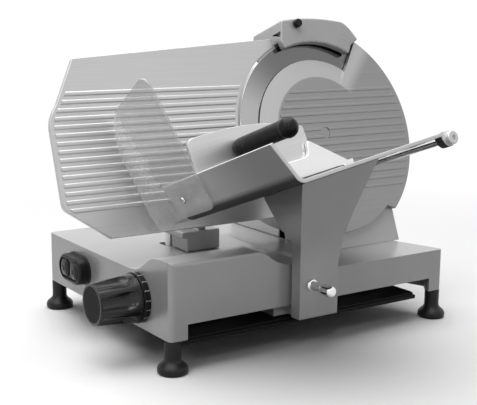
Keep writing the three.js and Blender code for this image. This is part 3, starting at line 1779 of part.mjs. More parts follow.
function buildGuard() {
  const g = guard;
  const outerFace = -SEAT_GAP - g.thickness;
  const bend = g.bendRadius;
  const section = new THREE.Shape();
  section.moveTo(-SEAT_GAP, -g.topReach);
  section.lineTo(-SEAT_GAP, -g.near - g.thickness - bend);
  section.absarc(-SEAT_GAP - bend, -g.near - g.thickness - bend, bend, 0, RIGHT_ANGLE, false);
  section.lineTo(-g.wing, -g.near - g.thickness);
  section.lineTo(-g.wing, -g.near - 2 * g.thickness);
  section.lineTo(-SEAT_GAP - bend, -g.near - 2 * g.thickness);
  section.absarc(-SEAT_GAP - bend, -g.near - g.thickness - bend, bend - g.thickness, RIGHT_ANGLE, 0, true);
  section.lineTo(outerFace, -g.topReach);
  const sheet = slab("xy", section, g.bottom, g.top, 4);
  const sideView = new THREE.Shape();
  sideView.moveTo(-g.near, g.bottom - OVERRUN);
  sideView.lineTo(-g.near, g.foldTop);
  sideView.lineTo(-g.topReach + g.topRound, g.top);
  sideView.quadraticCurveTo(-g.topReach, g.top, -g.topReach, g.top - g.topRound);
  sideView.lineTo(-g.reach, g.bottom + g.wingCorner);
  sideView.quadraticCurveTo(-g.reach, g.bottom, -g.reach + g.wingCorner, g.bottom);
  sideView.lineTo(-g.reach + g.wingCorner, g.bottom - OVERRUN);
  const frontView = new THREE.Shape();
  frontView.moveTo(OVERRUN, g.bottom);
  frontView.lineTo(OVERRUN, g.top + OVERRUN);
  frontView.lineTo(outerFace, g.top + OVERRUN);
  frontView.lineTo(outerFace, g.foldTop);
  frontView.quadraticCurveTo(-g.wingKnee, (g.foldTop + g.wingKneeHeight) / 2, -g.wingKnee, g.wingKneeHeight);
  frontView.lineTo(-g.wing, g.bottom + 3 * g.wingCorner);
  frontView.lineTo(-g.wing, g.bottom + g.wingCorner);
  frontView.quadraticCurveTo(-g.wing, g.bottom, -g.wing + g.wingCorner, g.bottom);
  const reach = g.topReach + OVERRUN;
  const outline = common(
    sheet,
    slab("yz", sideView, -g.wing - OVERRUN, OVERRUN),
    slab("xz", frontView, -reach, 0),
  );
  const hole = cylinder("x", guardScrew.stemRadius + SEAT_GAP, -OVERRUN * 2, OVERRUN, [-g.screwNear, g.screwHeight]);
  return moved(cut(outline, hole), wallMatrix());
}

function buildGuardScrew() {
  const face = -2 * SEAT_GAP - guard.thickness;
  const profile = [
    [0, face - guardScrew.length],
    [guardScrew.radius - WELD, face - guardScrew.length],
    [guardScrew.radius, face - guardScrew.length + WELD],
    [guardScrew.radius, face],
    [guardScrew.stemRadius, face],
    [guardScrew.stemRadius, face + guardScrew.stemLength],
    [0, face + guardScrew.stemLength],
  ];
  const knob = turned("x", profile, SMALL_TURN, [-guard.screwNear, guard.screwHeight]);
  return moved(knob, wallMatrix());
}

// Pusher: toothed plate, polished arm over the floor and a sleeve on the rod under the tray's edge
function buildPusherRod() {
  const end = tray.far + rodNut.length - WELD - SEAT_GAP;
  return cylinder("y", pusher.rodRadius, -end, -tray.near, [tray.bossX, -tray.bossDrop]);
}

function buildRodNut() {
  const front = -tray.far - rodNut.length;
  const cap = cylinder("y", rodNut.radius, front, -tray.far - SEAT_GAP, [tray.bossX, -tray.bossDrop]);
  const bore = cylinder("y", pusher.rodRadius + SEAT_GAP, front + WELD, -tray.far + OVERRUN, [
    tray.bossX,
    -tray.bossDrop,
  ]);
  return cut(cap, bore);
}

function buildPusherPlate() {
  const p = pusher;
  const back = -p.plateAt;
  const front = back - p.plateThickness;
  const low = tray.floorThickness + p.floorGap;
  const span = p.right - p.left;
  const shape = new THREE.Shape();
  shape.moveTo(p.left, low + p.cornerRound);
  shape.quadraticCurveTo(p.left, low, p.left + p.cornerRound, low);
  shape.lineTo(p.right, low);
  shape.lineTo(p.right, p.topRight - p.cornerRound / 2);
  shape.quadraticCurveTo(p.right, p.topRight, p.right - p.cornerRound / 2, p.topRight);
  shape.quadraticCurveTo(p.left + (span * 2) / 3, p.topMid, p.left + span / 3, p.topLeft);
  shape.lineTo(p.left + p.cornerRound, p.topLeft);
  shape.quadraticCurveTo(p.left, p.topLeft, p.left, p.topLeft - p.cornerRound);
  const sheet = slab("xz", shape, front, back);
  const rows = Math.floor((p.topRight - low - 2 * p.toothMargin) / p.toothPitch);
  const teeth = [[0, low + p.toothMargin]];
  for (let i = 0; i < rows; i += 1) {
    const at = low + p.toothMargin + i * p.toothPitch;
    teeth.push([p.toothDepth, at + p.toothPitch / 3], [0, at + (p.toothPitch * 2) / 3], [0, at + p.toothPitch]);
  }
  teeth.push([-WELD, low + p.toothMargin + rows * p.toothPitch], [-WELD, low + p.toothMargin]);
  const ridge = slab("yz", polygon(teeth), p.left + p.toothMargin * 2, p.right - p.toothMargin).translate(0, back, 0);
  const stemHole = cylinder("y", handle.stemRadius + SEAT_GAP, front - OVERRUN, front + handle.stemDepth, [
    handle.x,
    handle.z,
  ]);
  return cut(join(sheet, ridge), stemHole);
}

function buildPusherArm() {
  const p = pusher;
  const back = -p.plateAt - p.plateThickness - SEAT_GAP;
  const front = back - p.armThickness;
  const low = tray.floorThickness + p.armLift;
  const top = low + p.armHeight;
  const shape = new THREE.Shape();
  shape.moveTo(p.lapLeft, low);
  shape.lineTo(tray.bossX, low);
  shape.lineTo(tray.bossX, top);
  shape.lineTo(p.gussetFootX, p.gussetFootHeight);
  shape.lineTo(p.gussetLeft, p.gussetHeight);
  shape.lineTo(p.gussetLeft - p.armHeight, p.lapHeight);
  shape.lineTo(p.lapLeft, p.lapHeight);
  const bar = slab("xz", shape, front, back);
  const centre = [tray.bossX, -tray.bossDrop];
  const from = -p.plateAt - p.sleeveLength;
  const sleeve = cylinder("y", p.sleeveRadius, from, -p.plateAt, centre);
  const saddle = block(tray.bossX - p.sleeveRadius, tray.bossX + p.sleeveRadius, front, back, -tray.bossDrop, top);
  const bore = cylinder("y", p.rodRadius + 2 * SEAT_GAP + p.bushWall, from - OVERRUN, OVERRUN, centre);
  return cut(join(bar, saddle, sleeve), bore);
}

function buildPusherBush() {
  const p = pusher;
  const inner = p.rodRadius + SEAT_GAP;
  const from = -p.plateAt - p.sleeveLength;
  return tube("y", inner + p.bushWall, inner, from, -p.plateAt, [tray.bossX, -tray.bossDrop]);
}

function buildPusherHandle() {
  const h = handle;
  const root = -pusher.plateAt - pusher.plateThickness - SEAT_GAP;
  const end = root - h.length;
  const profile = [
    [0, root + h.stemDepth],
    [h.stemRadius, root + h.stemDepth],
    [h.stemRadius, root],
    [h.neckRadius, root],
    [h.radius, root - h.neckRadius],
    [h.radius, end + h.ballRadius],
  ];
  const steps = 6;
  const first = Math.asin(h.radius / h.ballRadius);
  for (let i = 0; i <= steps; i += 1) {
    const angle = first + ((2 * RIGHT_ANGLE - first) * i) / steps;
    const radius = i === steps ? 0 : h.ballRadius * Math.sin(angle);
    profile.push([radius, end + h.ballRadius * Math.cos(angle)]);
  }
  return turned("y", profile, SMALL_TURN, [h.x, h.z]);
}

// Base and what is fixed to it
add(slicer, "base_housing", buildBase(), castAluminium);
add(slicer, "bottom_plate", buildBottomPlate(), paintedSheet);
for (const [corner, x, y] of footCentres) {
  add(slicer, "foot_" + corner, buildFoot(x, y), blackRubber);
}
add(slicer, "switch_housing", buildSwitchBox(), blackPlastic);
add(slicer, "stop_button", buildButton(-1), blackRubber);
add(slicer, "start_button", buildButton(1), greenPlastic);
add(slicer, "cable_gland", buildGland(), blackPlastic);
add(slicer, "run_capacitor", buildCapacitor(), brushedAluminium);
add(slicer, "carriage_rod", buildCarriageRod(), polishedSteel);
add(slicer, "carriage_bar", buildCarriageBar(), polishedSteel);

// Thickness setting
add(slicer, "thickness_knob", buildDialGrip(), blackPlastic);
add(slicer, "scale_ring", buildScaleRing(), blackPlastic);
add(slicer, "knob_shaft", buildDialShaft(), polishedSteel);
add(slicer, "gauge_cam", buildCam(), bronze);
add(slicer, "gauge_slider", buildGaugeSlider(), castAluminium);
add(slicer, "gauge_guide_rod", buildGaugeRod(), polishedSteel);
add(slicer, "gauge_post", buildGaugePost(), polishedSteel);
add(slicer, "gauge_support", buildGaugeSupport(), castAluminium);
add(headFrame, "gauge_plate", buildGaugePlate(), brushedAluminium);

// Blade, drive and their castings
add(headFrame, "blade_housing", buildHousing(), castAluminium);
add(headFrame, "housing_rear_cover", buildHousingCover(), brushedAluminium);
add(headFrame, "blade", buildBlade(), hardenedSteel);
add(headFrame, "blade_spindle", buildSpindle(), polishedSteel);
add(headFrame, "bearing_front", buildBearing(bearing.frontAt), polishedSteel);
add(headFrame, "bearing_rear", buildBearing(bearingRearAt - SEAT_GAP), polishedSteel);
const drivenBore = spindle.radius + SEAT_GAP;
add(headFrame, "blade_pulley", buildPulley(belt.drivenRadius, drivenBore, [0, 0]), castAluminium);
add(headFrame, "motor_pulley", buildPulley(belt.driverRadius, motor.shaftRadius + SEAT_GAP, motorCentre), castAluminium);
add(headFrame, "drive_belt", buildBelt(), blackRubber);
add(headFrame, "motor_shaft", buildMotorShaft(), polishedSteel);
add(headFrame, "motor_body", buildMotorBody(), paintedMotor);
add(slicer, "motor_shroud", buildShroud(), castAluminium);
add(headFrame, "blade_cover", buildBladeCover(), brushedAluminium);
add(headFrame, "cover_tie_rod", buildTieRod(), polishedSteel);
add(headFrame, "cover_knob", buildCoverKnob(), blackPlastic);

// Sharpener
add(headFrame, "sharpener_body", buildSharpenerBody(), castAluminium);
add(headFrame, "sharpener_post", buildSharpenerPost(), polishedSteel);
add(headFrame, "sharpener_knob", buildSharpenerKnob(), blackPlastic);
add(headFrame, "grinding_stone", buildStone(grindFront, grindCentre), abrasive);
add(headFrame, "grinding_button", buildStoneSpindle(grindFront, grindCentre), blackPlastic);
add(headFrame, "deburring_stone", buildStone(deburrFront, deburrCentre), abrasive);
add(headFrame, "deburring_button", buildStoneSpindle(deburrFront, deburrCentre), blackPlastic);

// Carriage
add(slicer, "carriage_block", buildCarriageBlock(), castAluminium);
add(slicer, "bushing_left", buildBushing(rail.blockLeft), bronze);
add(slicer, "bushing_right", buildBushing(rail.blockRight - rail.bushLength), bronze);
add(slicer, "bar_roller", buildRoller(), polishedSteel);
add(slicer, "carriage_arm", buildCarriageArm(), castAluminium);
add(slicer, "tray_lock_knob", buildLock(), polishedSteel);
add(trayFrame, "product_tray", buildTray(), brushedAluminium);
add(trayFrame, "hand_guard", buildGuard(), clearPlastic);
add(trayFrame, "guard_screw", buildGuardScrew(), blackPlastic);
add(trayFrame, "pusher_rod", buildPusherRod(), polishedSteel);
add(trayFrame, "pusher_rod_nut", buildRodNut(), blackPlastic);
add(trayFrame, "pusher_plate", buildPusherPlate(), brushedAluminium);
add(trayFrame, "pusher_bush", buildPusherBush(), blackPlastic);
add(trayFrame, "pusher_arm", buildPusherArm(), polishedSteel);
add(trayFrame, "pusher_handle", buildPusherHandle(), blackPlastic);

// The part stands on its feet, with its origin under the middle of its bounding box
const bounds = new THREE.Box3().setFromObject(slicer, true);
const middle = bounds.getCenter(new THREE.Vector3());
slicer.position.set(-middle.x, -middle.y, -bounds.min.z);

export default slicer;
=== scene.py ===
"""Visual model of an electric gravity feed slicer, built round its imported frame."""
import json
import logging
from dataclasses import dataclass
from enum import Enum
from math import acos, asin, atan2, cos, hypot, pi, radians, sin, sqrt, tan, tau
from typing import Callable, Iterable, Sequence

import bmesh
import bpy
from mathutils import Matrix, Vector

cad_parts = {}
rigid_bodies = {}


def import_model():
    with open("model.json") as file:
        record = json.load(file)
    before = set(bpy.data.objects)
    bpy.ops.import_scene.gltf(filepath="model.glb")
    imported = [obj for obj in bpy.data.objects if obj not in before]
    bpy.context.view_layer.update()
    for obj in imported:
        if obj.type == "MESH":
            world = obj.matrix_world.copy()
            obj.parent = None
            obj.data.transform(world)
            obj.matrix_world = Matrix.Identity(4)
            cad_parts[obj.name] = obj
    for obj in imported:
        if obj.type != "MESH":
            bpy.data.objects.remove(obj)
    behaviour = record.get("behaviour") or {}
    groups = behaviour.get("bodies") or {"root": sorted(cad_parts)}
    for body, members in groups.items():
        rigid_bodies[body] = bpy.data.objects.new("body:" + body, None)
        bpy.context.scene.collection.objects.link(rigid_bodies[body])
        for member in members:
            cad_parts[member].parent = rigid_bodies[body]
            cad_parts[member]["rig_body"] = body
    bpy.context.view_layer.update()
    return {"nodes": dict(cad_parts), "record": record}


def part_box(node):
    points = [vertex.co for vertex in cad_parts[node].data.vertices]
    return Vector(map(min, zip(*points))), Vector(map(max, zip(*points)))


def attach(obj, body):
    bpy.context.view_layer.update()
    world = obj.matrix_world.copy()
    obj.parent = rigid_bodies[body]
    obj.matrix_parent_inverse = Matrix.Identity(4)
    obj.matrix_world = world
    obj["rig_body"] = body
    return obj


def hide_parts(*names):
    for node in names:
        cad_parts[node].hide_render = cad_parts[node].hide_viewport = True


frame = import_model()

Point2 = tuple[float, float]
MM = 0.001
log = logging.getLogger("slicer")

# Local frames, in millimetres: the base's, the leaning head's, the tray's and the tray wall's
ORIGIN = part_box("base_housing")[0]
BASE = Matrix.Translation(ORIGIN) @ Matrix.Scale(MM, 4)
HEAD = BASE @ Matrix.Translation((356, 142, 234)) @ Matrix.Rotation(radians(-19.6), 4, "X")
TRAY = HEAD @ Matrix.Translation((-280, 0, -112.5)) @ Matrix.Rotation(radians(-10), 4, "Y")
WALL = TRAY @ Matrix.Rotation(radians(-15), 4, "Y")

# Gap between seated pieces, top of the base's right part, overrun of cuts, screw's place on the tray's wall
SEAT = 0.3
BASE_TOP_RIGHT = 64.0
CUT_PAST = 6.0
GUARD_SCREW = (-51.0, 32.0)
SCREW_HOLE = 2.9


class Axis(Enum):
    """The axis a form is turned about, or an outline is run along."""

    X = Vector((1, 0, 0))
    Y = Vector((0, 1, 0))
    Z = Vector((0, 0, 1))

    def point(self, a: float, b: float, level: float) -> Vector:
        """Puts a point together.

        Args:
            a: its first coordinate across the axis.
            b: its second.
            level: its coordinate along the axis.

        Returns:
            The point.
        """
        if self is Axis.X:
            return Vector((level, a, b))
        if self is Axis.Y:
            return Vector((a, level, b))
        return Vector((a, b, level))


class Cut(Enum):
    """How two closed forms are put together."""

    JOIN = "UNION"
    TAKE = "DIFFERENCE"
    SHARE = "INTERSECT"


def around(reach: float, angle: float, centre: Point2 = (0, 0)) -> Point2:
    """Point at a distance from a centre, at an angle in radians."""
    return (centre[0] + reach * cos(angle), centre[1] + reach * sin(angle))


def arc(radius: float, start: float, end: float, steps: int, centre: Point2 = (0, 0)) -> list[Point2]:
    """Points on an arc.

    Args:
        radius: the arc's radius.
        start: first angle, in radians.
        end: last angle, in radians.
        steps: how many chords the arc has.
        centre: the arc's centre.

    Returns:
        The points, both ends among them.
    """
    return [around(radius, start + (end - start) * i / steps, centre) for i in range(steps + 1)]


def curve(start: Point2, corner: Point2, end: Point2, steps: int = 12) -> list[Point2]:
    """Points on a bent stretch.

    Args:
        start: where it starts.
        corner: where its two ends point to.
        end: where it ends.
        steps: how many chords it has.

    Returns:
        The points, start left out.
    """
    made = []
    for i in range(1, steps + 1):
        t = i / steps
        a, b, c = (1 - t) ** 2, 2 * t * (1 - t), t * t
        made.append(tuple(a * p + b * q + c * r for p, q, r in zip(start, corner, end)))
    return made


def bend_to(outline: list[Point2], corner: Point2, end: Point2, steps: int = 12) -> None:
    """Adds a bent stretch to an outline, from its last point."""
    outline += curve(outline[-1], corner, end, steps)


def soft_path(points: Sequence[tuple[float, ...]], closed: bool = True, steps: int = 6) -> list[Point2]:
    """Rounds the corners of a path.

    Args:
        points: corners, each (a, b) or (a, b, radius).
        closed: whether the last corner joins the first.
        steps: chords in each rounded corner.

    Returns:
        The path's points.
    """
    made: list[Point2] = []
    count = len(points)
    for i, corner in enumerate(points):
        here = Vector(corner[:2])
        radius = corner[2] if len(corner) > 2 else 0.0
        if radius <= 0 or (not closed and i in (0, count - 1)):
            made.append(tuple(here))
            continue
        before, after = Vector(points[i - 1][:2]) - here, Vector(points[(i + 1) % count][:2]) - here
        reach = min(radius, before.length * 0.499, after.length * 0.499)
        first, last = here + before.normalized() * reach, here + after.normalized() * reach
        made.append(tuple(first))
        made.extend(curve(tuple(first), tuple(here), tuple(last), steps))
    return made


def rounded_box(centre: Point2, width: float, height: float, radius: float, steps: int = 10) -> list[Point2]:
    """Outline of a rectangle with round corners.

    Args:
        centre: its middle.
        width: its full width.
        height: its full height.
        radius: its corners' radius; half the height makes a stadium.
        steps: chords in each corner.

    Returns:
        The points, with no two alike side by side.
    """
    a, b = width / 2, height / 2
    radius = min(radius, a, b)
    made: list[Point2] = []
    for k, (sx, sy) in enumerate(((1, 1), (-1, 1), (-1, -1), (1, -1))):
        middle = (centre[0] + sx * (a - radius), centre[1] + sy * (b - radius))
        made.extend(arc(radius, k * pi / 2, (k + 1) * pi / 2, steps, middle))
    return [p for i, p in enumerate(made) if hypot(p[0] - made[i - 1][0], p[1] - made[i - 1][1]) > 0.01]


class Form:
    """A closed mesh being worked, in the millimetres of its local frame."""

    def __init__(self) -> None:
        """Starts with nothing."""
        self.bm = bmesh.new()

    def _seal(self) -> "Form":
        """Merges doubles and points every face outwards.

        Returns:
            This form.
        """
        bmesh.ops.remove_doubles(self.bm, verts=self.bm.verts, dist=1e-4)
        bmesh.ops.recalc_face_normals(self.bm, faces=self.bm.faces)
        return self

    def revolve(
        self,
        axis: Axis,
        profile: Sequence[Point2],
        centre: Point2 = (0, 0),
        steps: int = 64,
        closed: bool = False,
    ) -> "Form":
        """Turns a profile fully about an axis.

        Args:
            axis: the axis.
            profile: (radius, level) points.
            centre: where the axis crosses the other two coordinates.
            steps: chords round the turn.
            closed: whether the last point joins the first, as for a tube.

        Returns:
            This form.
        """
        verts = [self.bm.verts.new(axis.point(centre[0] + r, centre[1], level)) for r, level in profile]
        pairs = list(zip(verts, verts[1:])) + ([(verts[-1], verts[0])] if closed else [])
        edges = [self.bm.edges.new(pair) for pair in pairs]
        middle = axis.point(centre[0], centre[1], 0)
        bmesh.ops.spin(
            self.bm, geom=verts + edges, cent=middle, axis=axis.value, angle=tau, steps=steps, use_merge=True
        )
        return self._seal()

    def slab(self, axis: Axis, outline: Sequence[Point2], start: float, end: float) -> "Form":
        """Runs an outline along an axis.

        Args:
            axis: the axis.
            outline: points across the axis.
            start: level of the outline.
            end: level it runs to.

        Returns:
            This form.
        """
        verts = [self.bm.verts.new(axis.point(a, b, start)) for a, b in outline]
        edges = [self.bm.edges.new((verts[i - 1], verts[i])) for i in range(len(verts))]
        faces = bmesh.ops.edgeloop_fill(self.bm, edges=edges)["faces"]
        grown = bmesh.ops.extrude_face_region(self.bm, geom=faces)["geom"]
        moved = [v for v in grown if isinstance(v, bmesh.types.BMVert)]
        bmesh.ops.translate(self.bm, verts=moved, vec=axis.value * (end - start))
        return self._seal()

    def box(self, low: Sequence[float], high: Sequence[float]) -> "Form":
        """Adds a box.

        Args:
            low: its lowest corner.
            high: its highest corner.

        Returns:
            This form.
        """
        size = Vector(high) - Vector(low)
        place = Matrix.Translation((Vector(low) + Vector(high)) / 2) @ Matrix.Diagonal((*size, 1))
        bmesh.ops.create_cube(self.bm, size=1, matrix=place)
        return self

    def bar(
        self, axis: Axis, radius: float, start: float, end: float, centre: Point2 = (0, 0), steps: int = 48
    ) -> "Form":
        """Adds a plain round bar."""
        return self.revolve(axis, [(0, start), (radius, start), (radius, end), (0, end)], centre, steps)

    def drilled(
        self, axis: Axis, radius: float, start: float, end: float, centre: Point2 = (0, 0), steps: int = 48
    ) -> "Form":
        """Takes a round hole away."""
        return self.fuse(Form().bar(axis, radius, start, end, centre, steps), Cut.TAKE)

    def lathe(
        self, axis: Axis, corners: Sequence[tuple[float, ...]], centre: Point2 = (0, 0), steps: int = 48
    ) -> "Form":
        """Turns a profile with rounded corners that starts and ends on the axis."""
        return self.revolve(axis, soft_path(corners, False), centre, steps)

    def soften(
        self,
        width: float,
        segments: int = 3,
        angle: float = 30.0,
        where: Callable[[Vector], bool] | None = None,
    ) -> "Form":
        """Rounds the edges.

        Args:
            width: the rounding's width.
            segments: faces across it.
            angle: edges flatter than this stay, in degrees.
            where: tells from an edge's middle whether it is rounded; all are if left out.

        Returns:
            This form.
        """
        limit = radians(angle)
        edges = [
            e
            for e in self.bm.edges
            if len(e.link_faces) == 2
            and e.calc_face_angle(0) > limit
            and (where is None or where((e.verts[0].co + e.verts[1].co) / 2))
        ]
        bmesh.ops.bevel(
            self.bm,
            geom=edges,
            offset=width,
            affect="EDGES",
            segments=segments,
            profile=0.5,
            material=-1,
            clamp_overlap=True,
        )
        return self

    def crown(self, axis: Axis, level: float, step: float, rises: Sequence[float]) -> "Form":
        """Swells a flat end into a low dome by insetting it again and again.

        Args:
            axis: the axis the end faces along.
            level: where the end lies on it.
            step: how far each inset goes in.
            rises: how much each inset stands out.

        Returns:
            This form.
        """
        faces = [f for f in self.bm.faces if all(abs(v.co.dot(axis.value) - level) < 1e-3 for v in f.verts)]
        for rise in rises:
            bmesh.ops.inset_region(self.bm, faces=faces, thickness=step, depth=rise, use_even_offset=True)
        return self

    def moved(self, matrix: Matrix) -> "Form":
        """Moves the whole form."""
        bmesh.ops.transform(self.bm, matrix=matrix, verts=self.bm.verts)
        return self

    def shaped(self, change: Callable[[Vector], Vector]) -> "Form":
        """Moves each vertex to where a function sends it.

        Args:
            change: gives a vertex's new place from its old one.

        Returns:
            This form.
        """
        for vert in self.bm.verts:
            vert.co = change(vert.co)
        return self

    def sliced(self, point: Vector, normal: Vector) -> "Form":
        """Cuts away what lies on one side of a plane, and closes the cut.

        Args:
            point: a point of the plane.
            normal: points to the side that goes.

        Returns:
            This form.
        """
        geom = list(self.bm.verts) + list(self.bm.edges) + list(self.bm.faces)
        done = bmesh.ops.bisect_plane(
            self.bm, geom=geom, dist=1e-4, plane_co=point, plane_no=normal, clear_outer=True
        )
        rim = [e for e in done["geom_cut"] if isinstance(e, bmesh.types.BMEdge)]
        bmesh.ops.edgeloop_fill(self.bm, edges=rim)
        return self._seal()

    def mesh(self, name: str) -> bpy.types.Mesh:
        """Makes the form mesh data and lets the working copy go.

        Args:
            name: the mesh data's name.

        Returns:
            The mesh data.
        """
        data = bpy.data.meshes.new(name)
        self.bm.to_mesh(data)
        self.bm.free()
        return data

    def fuse(self, other: "Form", how: Cut = Cut.JOIN) -> "Form":
        """Joins another closed form to this one, takes it away, or keeps what both share.

        Args:
            other: the other form, which is used up.
            how: which of the three.

        Returns:
            This form.
        """
        pair = []
        for form in (self, other):
            shape = bpy.data.objects.new("work", form.mesh("work"))
            bpy.context.scene.collection.objects.link(shape)
            pair.append(shape)
        tool = pair[0].modifiers.new("fuse", "BOOLEAN")
        tool.operation, tool.solver, tool.object = how.value, "EXACT", pair[1]
        graph = bpy.context.evaluated_depsgraph_get()
        data = bpy.data.meshes.new_from_object(pair[0].evaluated_get(graph))
        self.bm = bmesh.new()
        self.bm.from_mesh(data)
        bmesh.ops.remove_doubles(self.bm, verts=self.bm.verts, dist=1e-3)
        bmesh.ops.dissolve_degenerate(self.bm, edges=self.bm.edges, dist=1e-3)
        for shape in pair:
            old = shape.data
            bpy.data.objects.remove(shape)
            bpy.data.meshes.remove(old)
        bpy.data.meshes.remove(data)
        return self


class Wire:
    """An output socket of a finish's node tree, with the arithmetic of plain numbers."""

    def __init__(self, recipe: "Recipe", socket: bpy.types.NodeSocket) -> None:
        """Keeps the socket and the recipe it belongs to."""
        self.recipe = recipe
        self.socket = socket

    def _with(self, operation: str, left: "Wire | float", right: "Wire | float") -> "Wire":
        """Returns the result of one Math node."""
        return self.recipe.out("ShaderNodeMath", {"operation": operation}, {0: left, 1: right})

    def __add__(self, other: "Wire | float") -> "Wire":
        """Adds."""
        return self._with("ADD", self, other)

    def __sub__(self, other: "Wire | float") -> "Wire":
        """Subtracts."""
        return self._with("SUBTRACT", self, other)

    def __rsub__(self, other: float) -> "Wire":
        """Subtracts from a number."""
        return self._with("SUBTRACT", other, self)

    def __mul__(self, other: "Wire | float") -> "Wire":
        """Multiplies."""
        return self._with("MULTIPLY", self, other)

    def __pow__(self, other: "Wire | float") -> "Wire":
        """Raises to a power."""
        return self._with("POWER", self, other)

    def __rpow__(self, other: float) -> "Wire":
        """Raises a number to a power."""
        return self._with("POWER", other, self)

    __radd__, __rmul__ = __add__, __mul__

    def above(self, level: float, width: float) -> "Wire":
        """Returns 0 below a level and 1 above it, with a soft step of the given width."""
        inputs = {"Value": self, "From Min": level - width / 2, "From Max": level + width / 2}
        return self.recipe.out("ShaderNodeMapRange", {"interpolation_type": "SMOOTHSTEP"}, inputs)


class Recipe:
    """The node tree of one finish, or of the surroundings."""

    def __init__(self, owner: bpy.types.Material | bpy.types.World) -> None:
        """Switches the owner's nodes on and finds its one shader.

        Args:
            owner: the material or world.
        """
        self.owner = owner
        owner.use_nodes = True
        self.tree = owner.node_tree
        self.shader = next(n for n in self.tree.nodes if n.type in {"BSDF_PRINCIPLED", "BACKGROUND"})

    def feed(self, socket: bpy.types.NodeSocket, value: object) -> None:
        """Links a wire to a socket, or sets the socket's own value.

        Args:
            socket: an input socket of the tree.
            value: the wire, or a plain value.
        """
        if isinstance(value, Wire):
            self.tree.links.new(value.socket, socket)
        else:
            socket.default_value = value

    def node(self, kind: str, settings: dict | None = None, inputs: dict | None = None) -> bpy.types.Node:
        """Adds one node.

        Args:
            kind: the node's type.
            settings: its own properties, set first; "stops" are a ramp's (position, grey) pairs.
            inputs: values or wires for its sockets.

        Returns:
            The node.
        """
        made = self.tree.nodes.new(kind)
        for key, value in (settings or {}).items():
            if key == "stops":
                ramp = made.color_ramp
                while len(ramp.elements) < len(value):
                    ramp.elements.new(0.5)
                for element, (position, grey) in zip(ramp.elements, value):
                    element.position, element.color = position, (grey, grey, grey, 1)
            else:
                setattr(made, key, value)
        for key, value in (inputs or {}).items():
            self.feed(made.inputs[key], value)
        return made

    def out(
        self, kind: str, settings: dict | None = None, inputs: dict | None = None, which: int = 0
    ) -> Wire:
        """Adds one node and returns one of its outputs."""
        return Wire(self, self.node(kind, settings, inputs).outputs[which])

    def point(self, place: Matrix | None = None) -> Wire:
        """Finds the point being shaded.

        Args:
            place: the local frame it is given in; the object's own if left out.

        Returns:
            The point, in metres.
        """
        coords = self.node("ShaderNodeTexCoord")
        here = Wire(self, coords.outputs["Object"])
        if place is None:
            return here
        where, turn, _ = place.decompose()
        inputs = {"Vector": here, "Location": where, "Rotation": turn.to_euler("XYZ")}
        return self.out("ShaderNodeMapping", {"vector_type": "TEXTURE"}, inputs)

    def stretched(self, point: Wire, scale: Sequence[float]) -> Wire:
        """Scales a point's coordinates one by one."""
        return self.out("ShaderNodeVectorMath", {"operation": "MULTIPLY"}, {0: point, 1: tuple(scale)})

    def noise(self, point: Wire, scale: float, detail: float = 2.0, roughness: float = 0.5) -> Wire:
        """Returns cloudy noise from 0 to 1."""
        inputs = {"Vector": point, "Scale": scale, "Detail": detail, "Roughness": roughness}
        return self.out("ShaderNodeTexNoise", None, inputs)

    def part(self, point: Wire, axis: int) -> Wire:
        """Returns one coordinate of a point."""
        return self.out("ShaderNodeSeparateXYZ", None, {0: point}, axis)

    def radius(self, point: Wire) -> Wire:
        """Returns the distance from the local y axis."""
        flat = self.stretched(point, (1, 0, 1))
        return self.out("ShaderNodeVectorMath", {"operation": "LENGTH"}, {0: flat}, 1)

    def rings(self, point: Wire, scale: float) -> Wire:
        """Returns noise that changes only with the distance from the local y axis."""
        inputs = {"W": self.radius(point), "Scale": scale, "Detail": 3.0}
        return self.out("ShaderNodeTexNoise", {"noise_dimensions": "1D"}, inputs)

    def blend(
        self, factor: Wire | float, first: "Wire | Sequence[float]", second: "Wire | Sequence[float]"
    ) -> Wire:
        """Mixes two colours.

        Args:
            factor: how much of the second shows.
            first: a colour.
            second: another.

        Returns:
            The mixed colour.
        """
        ends = [c if isinstance(c, Wire) else (*c, 1) for c in (first, second)]
        inputs = {0: factor, 6: ends[0], 7: ends[1]}
        return self.out("ShaderNodeMix", {"data_type": "RGBA"}, inputs, 2)

    def bump(self, height: Wire, strength: float, distance: float) -> Wire:
        """Returns the surface's normal with a fine relief on it."""
        inputs = {"Height": height, "Strength": strength, "Distance": distance}
        return self.out("ShaderNodeBump", None, inputs)

    def done(self, **inputs: object) -> bpy.types.Material | bpy.types.World:
        """Feeds the shader's sockets.

        Args:
            **inputs: a value or wire for each socket, its name's spaces as underscores.

        Returns:
            The material or world.
        """
        for key, value in inputs.items():
            self.feed(self.shader.inputs[key.replace("_", " ")], value)
        return self.owner


def grey(tone: float) -> tuple[float, float, float]:
    """Returns a neutral colour."""
    return (tone, tone, tone)


@dataclass(frozen=True)
class CastMetal:
    """Satin cast or sheet aluminium: faint patches, fine grain."""

    name: str
    tone: float = 0.56
    roughness: float = 0.42
    metallic: float = 0.5
    grain: float = 1100.0
    relief: float = 0.10

    def build(self) -> bpy.types.Material:
        """Builds the material.

        Returns:
            The material.
        """
        r = Recipe(bpy.data.materials.new(self.name))
        point = r.point()
        patches = r.noise(point, 14.0, 3.0)
        grain = r.noise(point, self.grain, 2.0, 0.6)
        mixed = patches * 0.7 + grain * 0.3
        return r.done(
            Base_Color=r.blend(mixed.above(0.5, 0.7), grey(self.tone * 0.93), grey(self.tone * 1.06)),
            Metallic=self.metallic,
            Roughness=self.roughness - 0.06 + patches * 0.08 + grain * 0.04,
            Normal=r.bump(grain, self.relief, 0.0002),
        )


